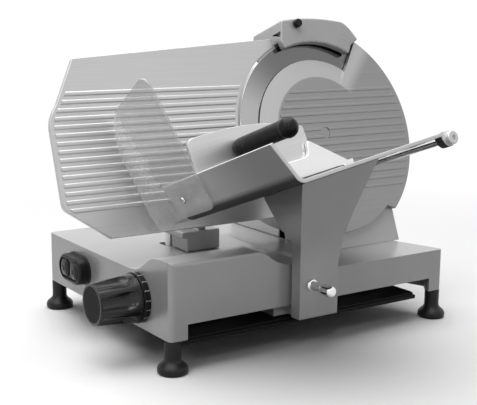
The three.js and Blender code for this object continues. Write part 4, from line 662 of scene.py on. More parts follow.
@dataclass(frozen=True)
class BrushedMetal:
    """Metal brushed along the local x axis, with a painted highlight outside a radius on its upper left, the
    side that faces the light.
    """

    name: str
    tone: float = 0.6
    roughness: float = 0.32
    metallic: float = 0.6
    place: Matrix | None = None
    relief: float = 0.10
    border_radius: float = 9.0
    border_tone: float = 0.6

    def build(self) -> bpy.types.Material:
        """Builds the material.

        Returns:
            The material.
        """
        r = Recipe(bpy.data.materials.new(self.name))
        point = r.point(self.place)
        streaks = r.noise(r.stretched(point, (6, 900, 900)), 1.0, 3.0, 0.6)
        patches = r.noise(point, 10.0, 2.0)
        brushed = r.blend(streaks.above(0.5, 0.6), grey(self.tone * 0.93), grey(self.tone * 1.05))
        # Painted highlight: outside the radius, the upper left side, which faces the lamps, is given a
        # lighter colour.
        lit_side = (r.part(point, 2) - r.part(point, 0) * 1.2).above(-0.01, 0.04)
        painted_highlight = r.radius(point).above(self.border_radius, 0.003) * lit_side
        return r.done(
            Base_Color=r.blend(painted_highlight, brushed, grey(self.border_tone)),
            Metallic=self.metallic,
            Roughness=self.roughness - 0.05 + streaks * 0.08 + patches * 0.06,
            Normal=r.bump(streaks, self.relief, 0.0002),
        )


@dataclass(frozen=True)
class TraySheet:
    """Satin sheet with painted highlights on its near cut edge and top edge, a much darker floor, and painted
    shade that darkens the wall towards the near side.
    """

    name: str
    tone: float = 0.95
    near_tone: float = 0.5
    floor_tone: float = 0.12
    edge_tone: float = 0.9
    roughness: float = 0.3
    metallic: float = 0.1
    place: Matrix | None = None
    fade_depth: float = -0.15
    fade: float = 0.22
    floor_level: float = 0.012
    near_cut: float = -0.2748
    top_cut: float = 0.0552

    def build(self) -> bpy.types.Material:
        """Builds the material.

        Returns:
            The material.
        """
        r = Recipe(bpy.data.materials.new(self.name))
        point = r.point(self.place)
        depth, level = r.part(point, 1), r.part(point, 2)
        grain, patches = r.noise(point, 1500.0, 2.0), r.noise(point, 10.0, 2.0)
        # Painted shade: the wall's colour darkens towards the near side, where less light reaches it.
        wall = r.blend(depth.above(self.fade_depth, self.fade), grey(self.near_tone), grey(self.tone))
        sheet = r.blend(level.above(self.floor_level, 0.01), grey(self.floor_tone), wall)
        # Painted highlights: the near cut edge and the wall's top edge are given a bright colour.
        cut = r.blend(depth.above(self.near_cut, 0.0008), grey(self.edge_tone), sheet)
        return r.done(
            Base_Color=r.blend(level.above(self.top_cut, 0.0006), cut, grey(self.edge_tone)),
            Metallic=self.metallic,
            Roughness=self.roughness + patches * 0.08,
            Normal=r.bump(grain, 0.06, 0.0002),
            Specular_IOR_Level=0.0,
        )


@dataclass(frozen=True)
class TurnedMetal:
    """Metal ground in rings about the local y axis, with a painted dark reflection over the sector at its
    top.
    """

    name: str
    tone: float = 0.45
    roughness: float = 0.2
    metallic: float = 1.0
    place: Matrix | None = None
    scale: float = 1500.0
    fan: float = 0.7

    def build(self) -> bpy.types.Material:
        """Builds the material.

        Returns:
            The material.
        """
        r = Recipe(bpy.data.materials.new(self.name))
        point = r.point(self.place)
        rings = r.rings(point, self.scale)
        patches = r.noise(point, 12.0, 2.0)
        # Painted reflection: the top sector is darkened, as if it mirrored the dark parts above it.
        unit = r.out("ShaderNodeVectorMath", {"operation": "NORMALIZE"}, {0: r.stretched(point, (1, 0, 1))})
        painted_reflection = r.part(unit, 2).above(0.62, 0.6)
        ground = r.blend(rings.above(0.5, 0.6), grey(self.tone * 0.88), grey(self.tone * 1.1))
        return r.done(
            Base_Color=r.blend(painted_reflection * self.fan, ground, grey(self.tone * 0.1)),
            Metallic=self.metallic,
            Roughness=self.roughness - 0.05 + rings * 0.07 + patches * 0.05,
            Normal=r.bump(rings, 0.08, 0.0002),
        )


@dataclass(frozen=True)
class PolishedMetal:
    """Bright rod or casting, with faint smears."""

    name: str
    colour: tuple[float, float, float] = (0.72, 0.72, 0.72)
    roughness: float = 0.12
    metallic: float = 1.0

    def build(self) -> bpy.types.Material:
        """Builds the material.

        Returns:
            The material.
        """
        r = Recipe(bpy.data.materials.new(self.name))
        point = r.point()
        smears = r.noise(r.stretched(point, (30, 90, 30)), 1.0, 4.0, 0.6)
        dark = tuple(c * 0.92 for c in self.colour)
        return r.done(
            Base_Color=r.blend(smears, dark, self.colour),
            Metallic=self.metallic,
            Roughness=self.roughness + smears * 0.08,
            Normal=r.bump(smears, 0.03, 0.0002),
        )


@dataclass(frozen=True)
class Moulding:
    """Moulded plastic or rubber: a fine pebbled skin."""

    name: str
    tone: float = 0.012
    roughness: float = 0.38
    pebble: float = 1400.0
    relief: float = 0.12
    gloss: float = 0.3

    def build(self) -> bpy.types.Material:
        """Builds the material.

        Returns:
            The material.
        """
        r = Recipe(bpy.data.materials.new(self.name))
        point = r.point()
        pebbles = r.out("ShaderNodeTexVoronoi", None, {"Vector": point, "Scale": self.pebble})
        clouds = r.noise(point, 60.0, 3.0)
        return r.done(
            Base_Color=r.blend(clouds, grey(self.tone * 0.8), grey(self.tone * 1.5)),
            Roughness=self.roughness - 0.05 + clouds * 0.1,
            Normal=r.bump(pebbles, self.relief, 0.0002),
            Specular_IOR_Level=self.gloss,
        )


@dataclass(frozen=True)
class Painted:
    """Painted sheet: a faint orange peel."""

    name: str
    tone: float = 0.02
    roughness: float = 0.45
    gloss: float = 0.4

    def build(self) -> bpy.types.Material:
        """Builds the material.

        Returns:
            The material.
        """
        r = Recipe(bpy.data.materials.new(self.name))
        point = r.point()
        peel = r.noise(point, 500.0, 1.0)
        clouds = r.noise(point, 20.0, 3.0)
        return r.done(
            Base_Color=r.blend(clouds, grey(self.tone * 0.85), grey(self.tone * 1.2)),
            Roughness=self.roughness - 0.04 + clouds * 0.08,
            Normal=r.bump(peel, 0.15, 0.0003),
            Specular_IOR_Level=self.gloss,
        )


@dataclass(frozen=True)
class ClearSheet:
    """Clear acrylic sheet with faint handling haze, more opaque where it is seen edge on."""

    name: str
    body: float = 0.24
    edge: float = 0.6

    def build(self) -> bpy.types.Material:
        """Builds the material.

        Returns:
            The material.
        """
        r = Recipe(bpy.data.materials.new(self.name))
        haze = r.noise(r.point(), 45.0, 4.0, 0.6)
        facing = r.out("ShaderNodeLayerWeight", None, {"Blend": 0.45}, 1)
        return r.done(
            Base_Color=r.blend(haze, grey(0.86), grey(0.95)),
            Roughness=0.04 + haze * 0.06,
            Alpha=self.body + facing**2.0 * self.edge + haze * 0.06,
        )


@dataclass(frozen=True)
class Grit:
    """Abrasive stone."""

    name: str
    tone: float = 0.3

    def build(self) -> bpy.types.Material:
        """Builds the material.

        Returns:
            The material.
        """
        r = Recipe(bpy.data.materials.new(self.name))
        point = r.point()
        grains = r.out("ShaderNodeTexVoronoi", None, {"Vector": point, "Scale": 2600.0})
        clouds = r.noise(point, 700.0, 3.0)
        return r.done(
            Base_Color=r.blend(grains * 0.6 + clouds * 0.4, grey(self.tone * 0.6), grey(self.tone * 1.4)),
            Roughness=0.85 + clouds * 0.1,
            Normal=r.bump(grains, 0.5, 0.0004),
        )


class Finish(Enum):
    """Every finish on the slicer."""

    CASTING = CastMetal("cast_aluminium", tone=0.49, roughness=0.3, metallic=0.2)
    HOUSING = CastMetal("cast_aluminium_head", tone=0.52, roughness=0.34, metallic=0.2)
    HOOD = CastMetal("cast_aluminium_sharpener", tone=0.44, roughness=0.28, metallic=0.22)
    SHEET = CastMetal("satin_sheet", tone=0.58, roughness=0.36, metallic=0.6, grain=1500.0, relief=0.06)
    PLATE = BrushedMetal("brushed_gauge_plate", tone=0.56, place=HEAD)
    # The cover's lighter ring outside 88.5 mm on its upper left is a painted highlight.
    COVER = BrushedMetal("brushed_blade_cover", tone=0.31, place=HEAD, border_radius=0.0885, border_tone=0.5)
    PUSHER = BrushedMetal("brushed_pusher", tone=0.64, roughness=0.3, metallic=0.7, place=TRAY)
    TRAY = TraySheet("satin_tray", place=TRAY)
    GRIP = Moulding("dial_plastic", tone=0.013, roughness=0.18, gloss=0.4)
    CAP = Moulding("dial_cap", tone=0.03, roughness=0.6, gloss=0.05)
    NUT = CastMetal("satin_nut", tone=0.8, roughness=0.36, metallic=0.3, grain=1500.0, relief=0.06)
    # Blade and can both carry the painted dark reflection over their top sector.
    BLADE = TurnedMetal("ground_blade", tone=0.43, roughness=0.14, place=HEAD)
    CAN = TurnedMetal("drawn_can", tone=0.6, roughness=0.3, metallic=0.8, place=BASE, scale=600.0)
    GROUND = PolishedMetal("ground_steel", (0.6, 0.6, 0.6), 0.2)
    BRIGHT = PolishedMetal("polished_steel", (0.82, 0.82, 0.82), 0.1)
    BRONZE = PolishedMetal("bearing_bronze", (0.55, 0.36, 0.17), 0.28)
    PLASTIC = Moulding("black_plastic", tone=0.012, roughness=0.26, gloss=0.16)
    RUBBER = Moulding("black_rubber", tone=0.009, roughness=0.36, pebble=1800.0, relief=0.12, gloss=0.2)
    FOOT = Moulding("foot_rubber", tone=0.008, roughness=0.42, pebble=1600.0, relief=0.12)
    BUTTON = Moulding("button_boot", tone=0.016, roughness=0.2, pebble=1500.0, relief=0.04, gloss=0.25)
    MARKS = Painted("printed_white", tone=0.8, roughness=0.5)
    PAINT = Painted("painted_plate", tone=0.007, roughness=0.5, gloss=0.12)
    MOTOR = Painted("motor_enamel", tone=0.09, roughness=0.4)
    CLEAR = ClearSheet("clear_acrylic")
    STONE = Grit("abrasive_stone")


class Workshop:
    """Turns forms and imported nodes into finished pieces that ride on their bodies."""

    def __init__(self) -> None:
        """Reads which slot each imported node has."""
        self.made: dict[Finish, bpy.types.Material] = {}
        self.slots = {s["node"]: s["material_slot"] for s in frame["record"]["subparts"]}
        self.count = 0

    def material(self, finish: Finish) -> bpy.types.Material:
        """Finds a finish's material, or builds it the first time.

        Args:
            finish: the finish.

        Returns:
            The material.
        """
        if finish not in self.made:
            self.made[finish] = finish.value.build()
        return self.made[finish]

    def piece(
        self,
        form: Form,
        name: str,
        finish: Finish,
        place: Matrix,
        node: str,
        stands_for: Iterable[str] = (),
        angle: float = 35.0,
    ) -> bpy.types.Object:
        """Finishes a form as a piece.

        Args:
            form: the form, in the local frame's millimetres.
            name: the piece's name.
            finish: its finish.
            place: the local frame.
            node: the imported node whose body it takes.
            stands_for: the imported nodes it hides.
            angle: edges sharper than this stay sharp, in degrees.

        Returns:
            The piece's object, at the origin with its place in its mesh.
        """
        form.moved(place)
        data = form.mesh(name)
        data.polygons.foreach_set("use_smooth", [True] * len(data.polygons))
        data.set_sharp_from_angle(angle=radians(angle))
        data.materials.append(self.material(finish))
        shape = bpy.data.objects.new(name, data)
        bpy.context.scene.collection.objects.link(shape)
        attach(shape, frame["nodes"][node]["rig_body"])
        if stands_for:
            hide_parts(*stands_for)
        self._even(shape)
        self.count += 1
        return shape

    def stand_in(
        self, form: Form, name: str, finish: Finish, place: Matrix, node: str, angle: float = 35.0
    ) -> bpy.types.Object:
        """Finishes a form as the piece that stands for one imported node."""
        return self.piece(form, name, finish, place, node, [node], angle)

    def _even(self, shape: bpy.types.Object) -> None:
        """Keeps a piece's flats flat between its rounded edges, as the last of its modifiers.

        Args:
            shape: the piece.
        """
        old = shape.modifiers.get("even")
        if old:
            shape.modifiers.remove(old)
        even = shape.modifiers.new("even", "WEIGHTED_NORMAL")
        even.weight, even.keep_sharp = 100, True

    def rounded(self, shape: bpy.types.Object, width: float, segments: int = 2, angle: float = 35.0) -> None:
        """Rounds a piece's edges.

        Args:
            shape: the piece.
            width: the rounding's width, in millimetres.
            segments: faces across it.
            angle: edges flatter than this stay, in degrees.
        """
        rounding = shape.modifiers.new("rounding", "BEVEL")
        rounding.width, rounding.segments, rounding.limit_method = width * MM, segments, "ANGLE"
        rounding.angle_limit, rounding.use_clamp_overlap = radians(angle), False
        self._even(shape)

    def refine(
        self,
        node: str,
        finish: Finish,
        round_mm: float = 0.8,
        segments: int = 2,
        outer_mm: float = 0.0,
        outer: Callable[[Vector], bool] | None = None,
    ) -> None:
        """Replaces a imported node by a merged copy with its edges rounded.

        Args:
            node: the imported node.
            finish: its finish.
            round_mm: the rounding of its edges.
            segments: faces across that rounding.
            outer_mm: a wider rounding of some edges, cut first.
            outer: tells from an edge's middle, in the base's millimetres, whether it gets that one.
        """
        form = Form()
        form.bm.from_mesh(frame["nodes"][node].data)
        bmesh.ops.remove_doubles(form.bm, verts=form.bm.verts, dist=1e-5)
        bmesh.ops.dissolve_limit(
            form.bm, angle_limit=radians(0.6), verts=form.bm.verts, edges=form.bm.edges, delimit=set()
        )
        if outer is not None:
            form.moved(BASE.inverted()).soften(outer_mm, 4, 40, outer).moved(BASE)
        shape = self.stand_in(form, node + "_finished", finish, Matrix.Identity(4), node)
        if round_mm > 0:
            self.rounded(shape, round_mm, segments)

    def keep(self, finish: Finish, *nodes: str) -> None:
        """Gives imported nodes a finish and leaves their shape.

        Args:
            finish: the finish.
            *nodes: the nodes' names.
        """
        for node in nodes:
            data = frame["nodes"][node].data
            data.materials.clear()
            data.materials.append(self.material(finish))
            log.info("node %s kept", node)


@dataclass
class BaseCasting:
    """Base casting with its bottom plate, feet, rails and rear fittings."""

    shop: Workshop
    inset: float = 10.0
    length: float = 485.0
    depth: float = 371.0
    slant: float = 38.0
    foot_height: float = 44.0
    stud_radius: float = 3.9
    stud_top: float = 15.5
    neck_radius: float = 11.0
    neck_end: float = -26.5
    flare_radius: float = 20.5
    flare_start: float = -34.5
    pad_radius: float = 18.5
    hollow_radius: float = 10.5
    hollow_depth: float = 2.2

    def _on_rim(self, point: Vector) -> bool:
        """Tells whether a point lies on the casting's outer sides, above its bottom edge."""
        return point.z > 1 and (point.x < 0.1 or point.y < 0.1 or point.y > self.depth - 0.1)

    def feet(self) -> None:
        """Four bell shaped rubber feet."""
        right = self.length - self.inset
        places = {
            "foot_front_left": (self.inset, self.inset),
            "foot_front_right": (right, self.inset),
            "foot_rear_left": (self.inset, self.depth - self.inset),
            "foot_rear_right": (right - self.slant, self.depth - self.inset),
        }
        low = -self.foot_height
        bell = [
            (0, self.stud_top),
            (self.stud_radius, self.stud_top),
            (self.stud_radius, -SEAT),
            (self.neck_radius, -SEAT, 0.8),
            (self.neck_radius, self.neck_end, 4),
            (self.flare_radius, self.flare_start, 4),
            (self.flare_radius, low + 2.5, 2.5),
            (self.pad_radius, low, 1.2),
            (self.hollow_radius + 1.5, low, 0.5),
            (self.hollow_radius, low + self.hollow_depth, 0.5),
            (0, low + self.hollow_depth),
        ]
        for name, centre in places.items():
            form = Form().lathe(Axis.Z, bell, centre, 64)
            self.shop.stand_in(form, name + "_bell", Finish.FOOT, BASE, name, 40)

    def build(self) -> None:
        """Builds the base."""
        self.shop.refine("base_housing", Finish.CASTING, 0.7, 2, 3.0, self._on_rim)
        self.shop.refine("bottom_plate", Finish.PAINT, 0.8, 2)
        self.feet()
        self.shop.keep(Finish.GROUND, "carriage_rod", "carriage_bar")
        self.shop.keep(Finish.CAN, "run_capacitor")
        self.shop.refine("cable_gland", Finish.PLASTIC, 0.5)


@dataclass
class SwitchPanel:
    """Stadium shaped switch box with two booted push buttons on the base's left end."""

    shop: Workshop
    centre: Point2 = (264.0, 42.0)
    width: float = 74.0
    height: float = 40.0
    depth: float = 18.0
    button_width: float = 25.0
    button_height: float = 26.0
    button_round: float = 9.0
    spacing: float = 30.0
    proud: float = 1.5
    recess: float = 2.4
    flange_grow: float = 3.0
    neck_shrink: float = 10.6
    well_shrink: float = 10.0

    def _outline(self, grow: float, corner: float, steps: int = 16) -> list[Point2]:
        """Outline of the box, grown or drawn in."""
        return rounded_box(self.centre, self.width + grow, self.height + grow, corner, steps)

    def _button_outline(self, side: int, grow: float) -> list[Point2]:
        """Outline of one button or, grown, of its pocket.

        Args:
            side: -1 for the left button, 1 for the right one.
            grow: how far it is grown.

        Returns:
            The outline's points.
        """
        middle = (self.centre[0] + side * self.spacing / 2, self.centre[1])
        width, height = self.button_width + 2 * grow, self.button_height + 2 * grow
        return rounded_box(middle, width, height, self.button_round + grow)

    def build(self) -> None:
        """Builds the box and its buttons."""
        face, flange_face = -self.depth, -3.0
        body = Form().slab(Axis.X, self._outline(0, 20), face, -SEAT)
        body.soften(4.5, 5, 60, lambda p: p.x < face + 0.1)
        flange = Form().slab(Axis.X, self._outline(self.flange_grow, 22), flange_face, -SEAT)
        flange.soften(1.6, 3, 60, lambda p: p.x < flange_face + 0.1)
        body.fuse(flange).fuse(Form().slab(Axis.X, self._outline(-self.neck_shrink, 14, 10), -1, 12))
        well = self._outline(-self.well_shrink, 15, 12)
        body.fuse(Form().slab(Axis.X, well, face - CUT_PAST, face + self.recess), Cut.TAKE)
        for side in (-1, 1):
            pocket = Form().slab(Axis.X, self._button_outline(side, SEAT), face - CUT_PAST, face + 11)
            body.fuse(pocket, Cut.TAKE)
        self.shop.stand_in(body, "switch_box", Finish.RUBBER, BASE, "switch_housing", 40)
        front = face - self.proud + 2.0
        for side, node in ((-1, "stop_button"), (1, "start_button")):
            boot = Form().slab(Axis.X, self._button_outline(side, 0), front, face + 7)
            boot.soften(1.4, 3, 60, lambda p: p.x < front + 0.1)
            boot.crown(Axis.X, front, 1.8, (0.9, 0.6, 0.4, 0.2, 0.1))
            self.shop.stand_in(boot, node + "_boot", Finish.BUTTON, BASE, node, 50)


@dataclass
class ThicknessDial:
    """Fluted grip, numbered ring, shaft and scroll cam of the thickness setting."""

    shop: Workshop
    centre: Point2 = (82.0, 42.0)
    ring_radius: float = 34.5
    ring_width: float = 9.0
    grip_radius: float = 33.0
    grip_length: float = 60.0
    cap_radius: float = 28.0
    flutes: int = 6
    flute_radius: float = 16.0
    flute_offset: float = 40.0
    flute_end: float = 3.5
    flute_phase: float = 49.0
    cap_rim: float = 4.0
    cap_sink: float = 0.8
    shaft_radius: float = 5.4
    marks: int = 16
    turn: float = 330.0
    first_mark: float = 218.0
    tick_level: float = 7.2
    numeral_level: float = 3.2
    numeral_size: float = 4.2

    def grip(self) -> None:
        """Grip with six scooped flutes that run out in a round end before the ring."""
        inner = -self.ring_width - 2 * SEAT
        face = inner - self.grip_length
        skin = [
            (0, face + self.cap_sink),
            (self.cap_radius - self.cap_rim, face + self.cap_sink, 1),
            (self.cap_radius - self.cap_rim + 0.6, face, 0.4),
            (self.cap_radius, face, 1.8),
            (self.grip_radius, inner, 1.2),
            (0, inner),
        ]
        form = Form().revolve(Axis.X, soft_path(skin, False, 8), self.centre, 120)
        tip = inner - self.flute_end
        ball, length = self.flute_radius, self.flute_radius * 1.2
        runout = [(ball * cos(k * pi / 24), tip - length + length * sin(k * pi / 24)) for k in range(12)]
        scoop = [(0, face + 2.4), (ball, face + 2.4), *runout, (0, tip)]
        for k in range(self.flutes):
            place = around(self.flute_offset, radians(self.flute_phase) + k * tau / self.flutes, self.centre)
            form.fuse(Form().revolve(Axis.X, scoop, place, 56), Cut.TAKE)
        shape = self.shop.stand_in(form, "dial_grip", Finish.GRIP, BASE, "thickness_knob", 40)
        self.shop.rounded(shape, 1.1, 3, 38)
        disc = self.cap_radius - self.cap_rim + 0.1
        cap = Form().bar(Axis.X, disc, face + 0.3, face + 1.2, self.centre, 96)
        self.shop.piece(cap.soften(0.3, 2, 50), "dial_cap_disc", Finish.CAP, BASE, "thickness_knob", (), 40)

    def _wrapped(self, point: Vector, angle: float, x: float) -> Vector:
        """Bends a flat mark round the ring.

        Args:
            point: a point of the mark; its x goes round, its y along the ring's width.
            angle: where on the ring the mark is, in radians.
            x: level of the mark's middle.

        Returns:
            The bent point.
        """
        at = angle - point.x / self.ring_radius
        radius = self.ring_radius + 0.05 + point.z
        return Vector((x + point.y, self.centre[0] + radius * cos(at), self.centre[1] + radius * sin(at)))

    def _numeral(self, text: str, angle: float, x: float) -> Form:
        """One numeral as a thin mesh wrapped round the ring.

        Args:
            text: the numeral.
            angle: where on the ring it is, in radians.
            x: level of its middle.

        Returns:
            The numeral.
        """
        letters = bpy.data.curves.new("numeral", "FONT")
        letters.body, letters.size, letters.extrude = text, self.numeral_size, 0.06
        letters.align_x, letters.align_y = "CENTER", "CENTER"
        holder = bpy.data.objects.new("numeral", letters)
        bpy.context.scene.collection.objects.link(holder)
        graph = bpy.context.evaluated_depsgraph_get()
        data = bpy.data.meshes.new_from_object(holder.evaluated_get(graph))
        form = Form()
        form.bm.from_mesh(data)
        bpy.data.objects.remove(holder)
        bpy.data.curves.remove(letters)
        bpy.data.meshes.remove(data)
        return form.shaped(lambda p: self._wrapped(p, angle, x))

    def ring(self) -> None:
        """Numbered ring with its printed marks."""
        outer, inner = -self.ring_width - SEAT, -SEAT
        rim, bore = self.ring_radius, self.shaft_radius
        corners = [(bore, outer), (rim - 0.4, outer, 0.8), (rim, outer + 1, 0.5)]
        corners += [(rim, inner, 0.6), (bore, inner)]
        ring = Form().revolve(Axis.X, soft_path(corners, False), self.centre, 128, closed=True)
        self.shop.stand_in(ring, "dial_ring", Finish.PLASTIC, BASE, "scale_ring", 40)
        marks = Form()
        for i in range(self.marks):
            angle = radians(self.first_mark - i * self.turn / (self.marks - 1))
            tick = Form().box((-0.5, -1.1, 0), (0.5, 1.1, 0.12))
            tick.shaped(lambda p, a=angle: self._wrapped(p, a, outer + self.tick_level))
            for part in (tick, self._numeral(str(i), angle, outer + self.numeral_level)):
                data = part.mesh("mark")
                marks.bm.from_mesh(data)
                bpy.data.meshes.remove(data)
        self.shop.piece(marks, "dial_marks", Finish.MARKS, BASE, "scale_ring", (), 40)

    def build(self) -> None:
        """Builds the dial."""
        self.grip()
        self.ring()
        self.shop.keep(Finish.GROUND, "knob_shaft")
        self.shop.keep(Finish.BRONZE, "gauge_cam")


def rib_comb(low: float, high: float, pitch: float, width: float, height: float, root: float) -> list[Point2]:
    """Section of a ribbed face: flat topped ribs with soft edges that stand towards -y on a root.

    Args:
        low: where the first rib starts.
        high: where the last may end.
        pitch: distance between ribs.
        width: width of a rib.
        height: how far it stands out.
        root: depth of the root behind the face.

    Returns:
        The section's (y, z) points.
    """
    half = ((0, 0), (0.1, 0.55), (0.22, 0.92), (0.35, 1))
    rib = half + tuple((1 - share, rise) for share, rise in reversed(half))
    made: list[Point2] = [(root, low)]
    count = int((high - low) / pitch)
    for i in range(count):
        middle = low + (i + 0.5) * pitch
        made += [(-height * rise, middle + width * (share - 0.5)) for share, rise in rib]
    made.append((root, low + count * pitch))
    return made


@dataclass
class GaugeAssembly:
    """Ribbed gauge plate on its support, with the post and the slider under the base's top."""

    shop: Workshop
    thickness: float = 10.0
    left: float = -445.0
    left_top: float = 32.0
    shoulder: Point2 = (-431.0, 66.0)
    corner: Point2 = (-398.0, 128.0)
    horn: Point2 = (-62.0, 153.0)
    left_bottom: float = -67.0
    bend: Point2 = (-440.0, -77.0)
    bottom: Point2 = (-383.0, -119.0)
    blade_radius: float = 153.0
    wall: float = 5.0
    margin: float = 5.5
    rib_height: float = 1.2
    rib_pitch: float = 11.2
    rib_width: float = 6.6
    ribs_low: float = -83.0
    ribs_high: float = 85.5
    pad_middle: float = -216.0
    pad_half: float = 42.0
    pad_low: float = -96.0
    pad_high: float = 24.0
    post: Point2 = (115.0, 198.0)
    post_radius: float = 6.0
    post_foot: float = 44.0
    post_top: float = 112.4

    def outline(self, inset: float, radius: float) -> list[Point2]:
        """Outline of the plate.

        Args:
            inset: how far it is drawn in.
            radius: radius of the arc that follows the blade.

        Returns:
            The outline's points.
        """
        slope = (self.horn[1] - self.corner[1]) / (self.horn[0] - self.corner[0])
        right = self.horn[0] - 3 * inset
        top = self.corner[1] + slope * (right - self.corner[0]) - inset
        start = atan2(sqrt(radius**2 - right**2), right)
        low = self.bottom[1] + inset
        end = atan2(low, -sqrt(radius**2 - low**2)) + tau
        side = self.left + inset
        made = [(self.corner[0] + inset, self.corner[1] - inset)]
        made.append((self.shoulder[0] + inset, self.shoulder[1]))
        bend_to(made, (side, (self.shoulder[1] + self.left_top) / 2), (side, self.left_top))
        made.append((side, self.left_bottom))
        bend_to(made, (side, (self.left_bottom + self.bend[1]) / 2), (self.bend[0] + inset, self.bend[1]))
        made.append((self.bottom[0], low))
        made += arc(radius, end, start, 72)
        made.append((right, top))
        return made

    def plate(self) -> None:
        """The ribbed plate."""
        face, wall = self.rib_height, self.wall
        sheet = Form().slab(Axis.Y, self.outline(0, self.blade_radius), face, self.thickness)
        sheet.soften(1.0, 3, 50)
        hollow = self.outline(wall, self.blade_radius + wall)
        sheet.fuse(Form().slab(Axis.Y, hollow, face + wall, self.thickness + CUT_PAST), Cut.TAKE)
        left, right = self.pad_middle - self.pad_half, self.pad_middle + self.pad_half
        sheet.fuse(Form().box((left, face + 1, self.pad_low), (right, self.thickness, self.pad_high)))
        comb = rib_comb(self.ribs_low, self.ribs_high, self.rib_pitch, self.rib_width, self.rib_height, 1.0)
        ribs = Form().slab(Axis.X, comb, self.left, self.horn[0]).moved(Matrix.Translation((0, face, 0)))
        field = self.outline(self.margin, self.blade_radius + self.margin)
        ribs.fuse(Form().slab(Axis.Y, field, -CUT_PAST, self.thickness), Cut.SHARE)
        sheet.fuse(ribs)
        self.shop.stand_in(sheet, "gauge_plate_face", Finish.PLATE, HEAD, "gauge_plate", 28)

    def build(self) -> None:
        """Builds the gauge."""
        self.plate()
        self.shop.refine("gauge_support", Finish.CASTING, 2.0, 3)
        reach, low, high = self.post_radius, self.post_foot, self.post_top
        post = Form().lathe(Axis.Z, [(0, low), (reach, low), (reach, high, 1), (0, high)], self.post)
        self.shop.stand_in(post, "gauge_post_rod", Finish.BRIGHT, BASE, "gauge_post")
        self.shop.keep(Finish.CASTING, "gauge_slider")
        self.shop.keep(Finish.GROUND, "gauge_guide_rod")


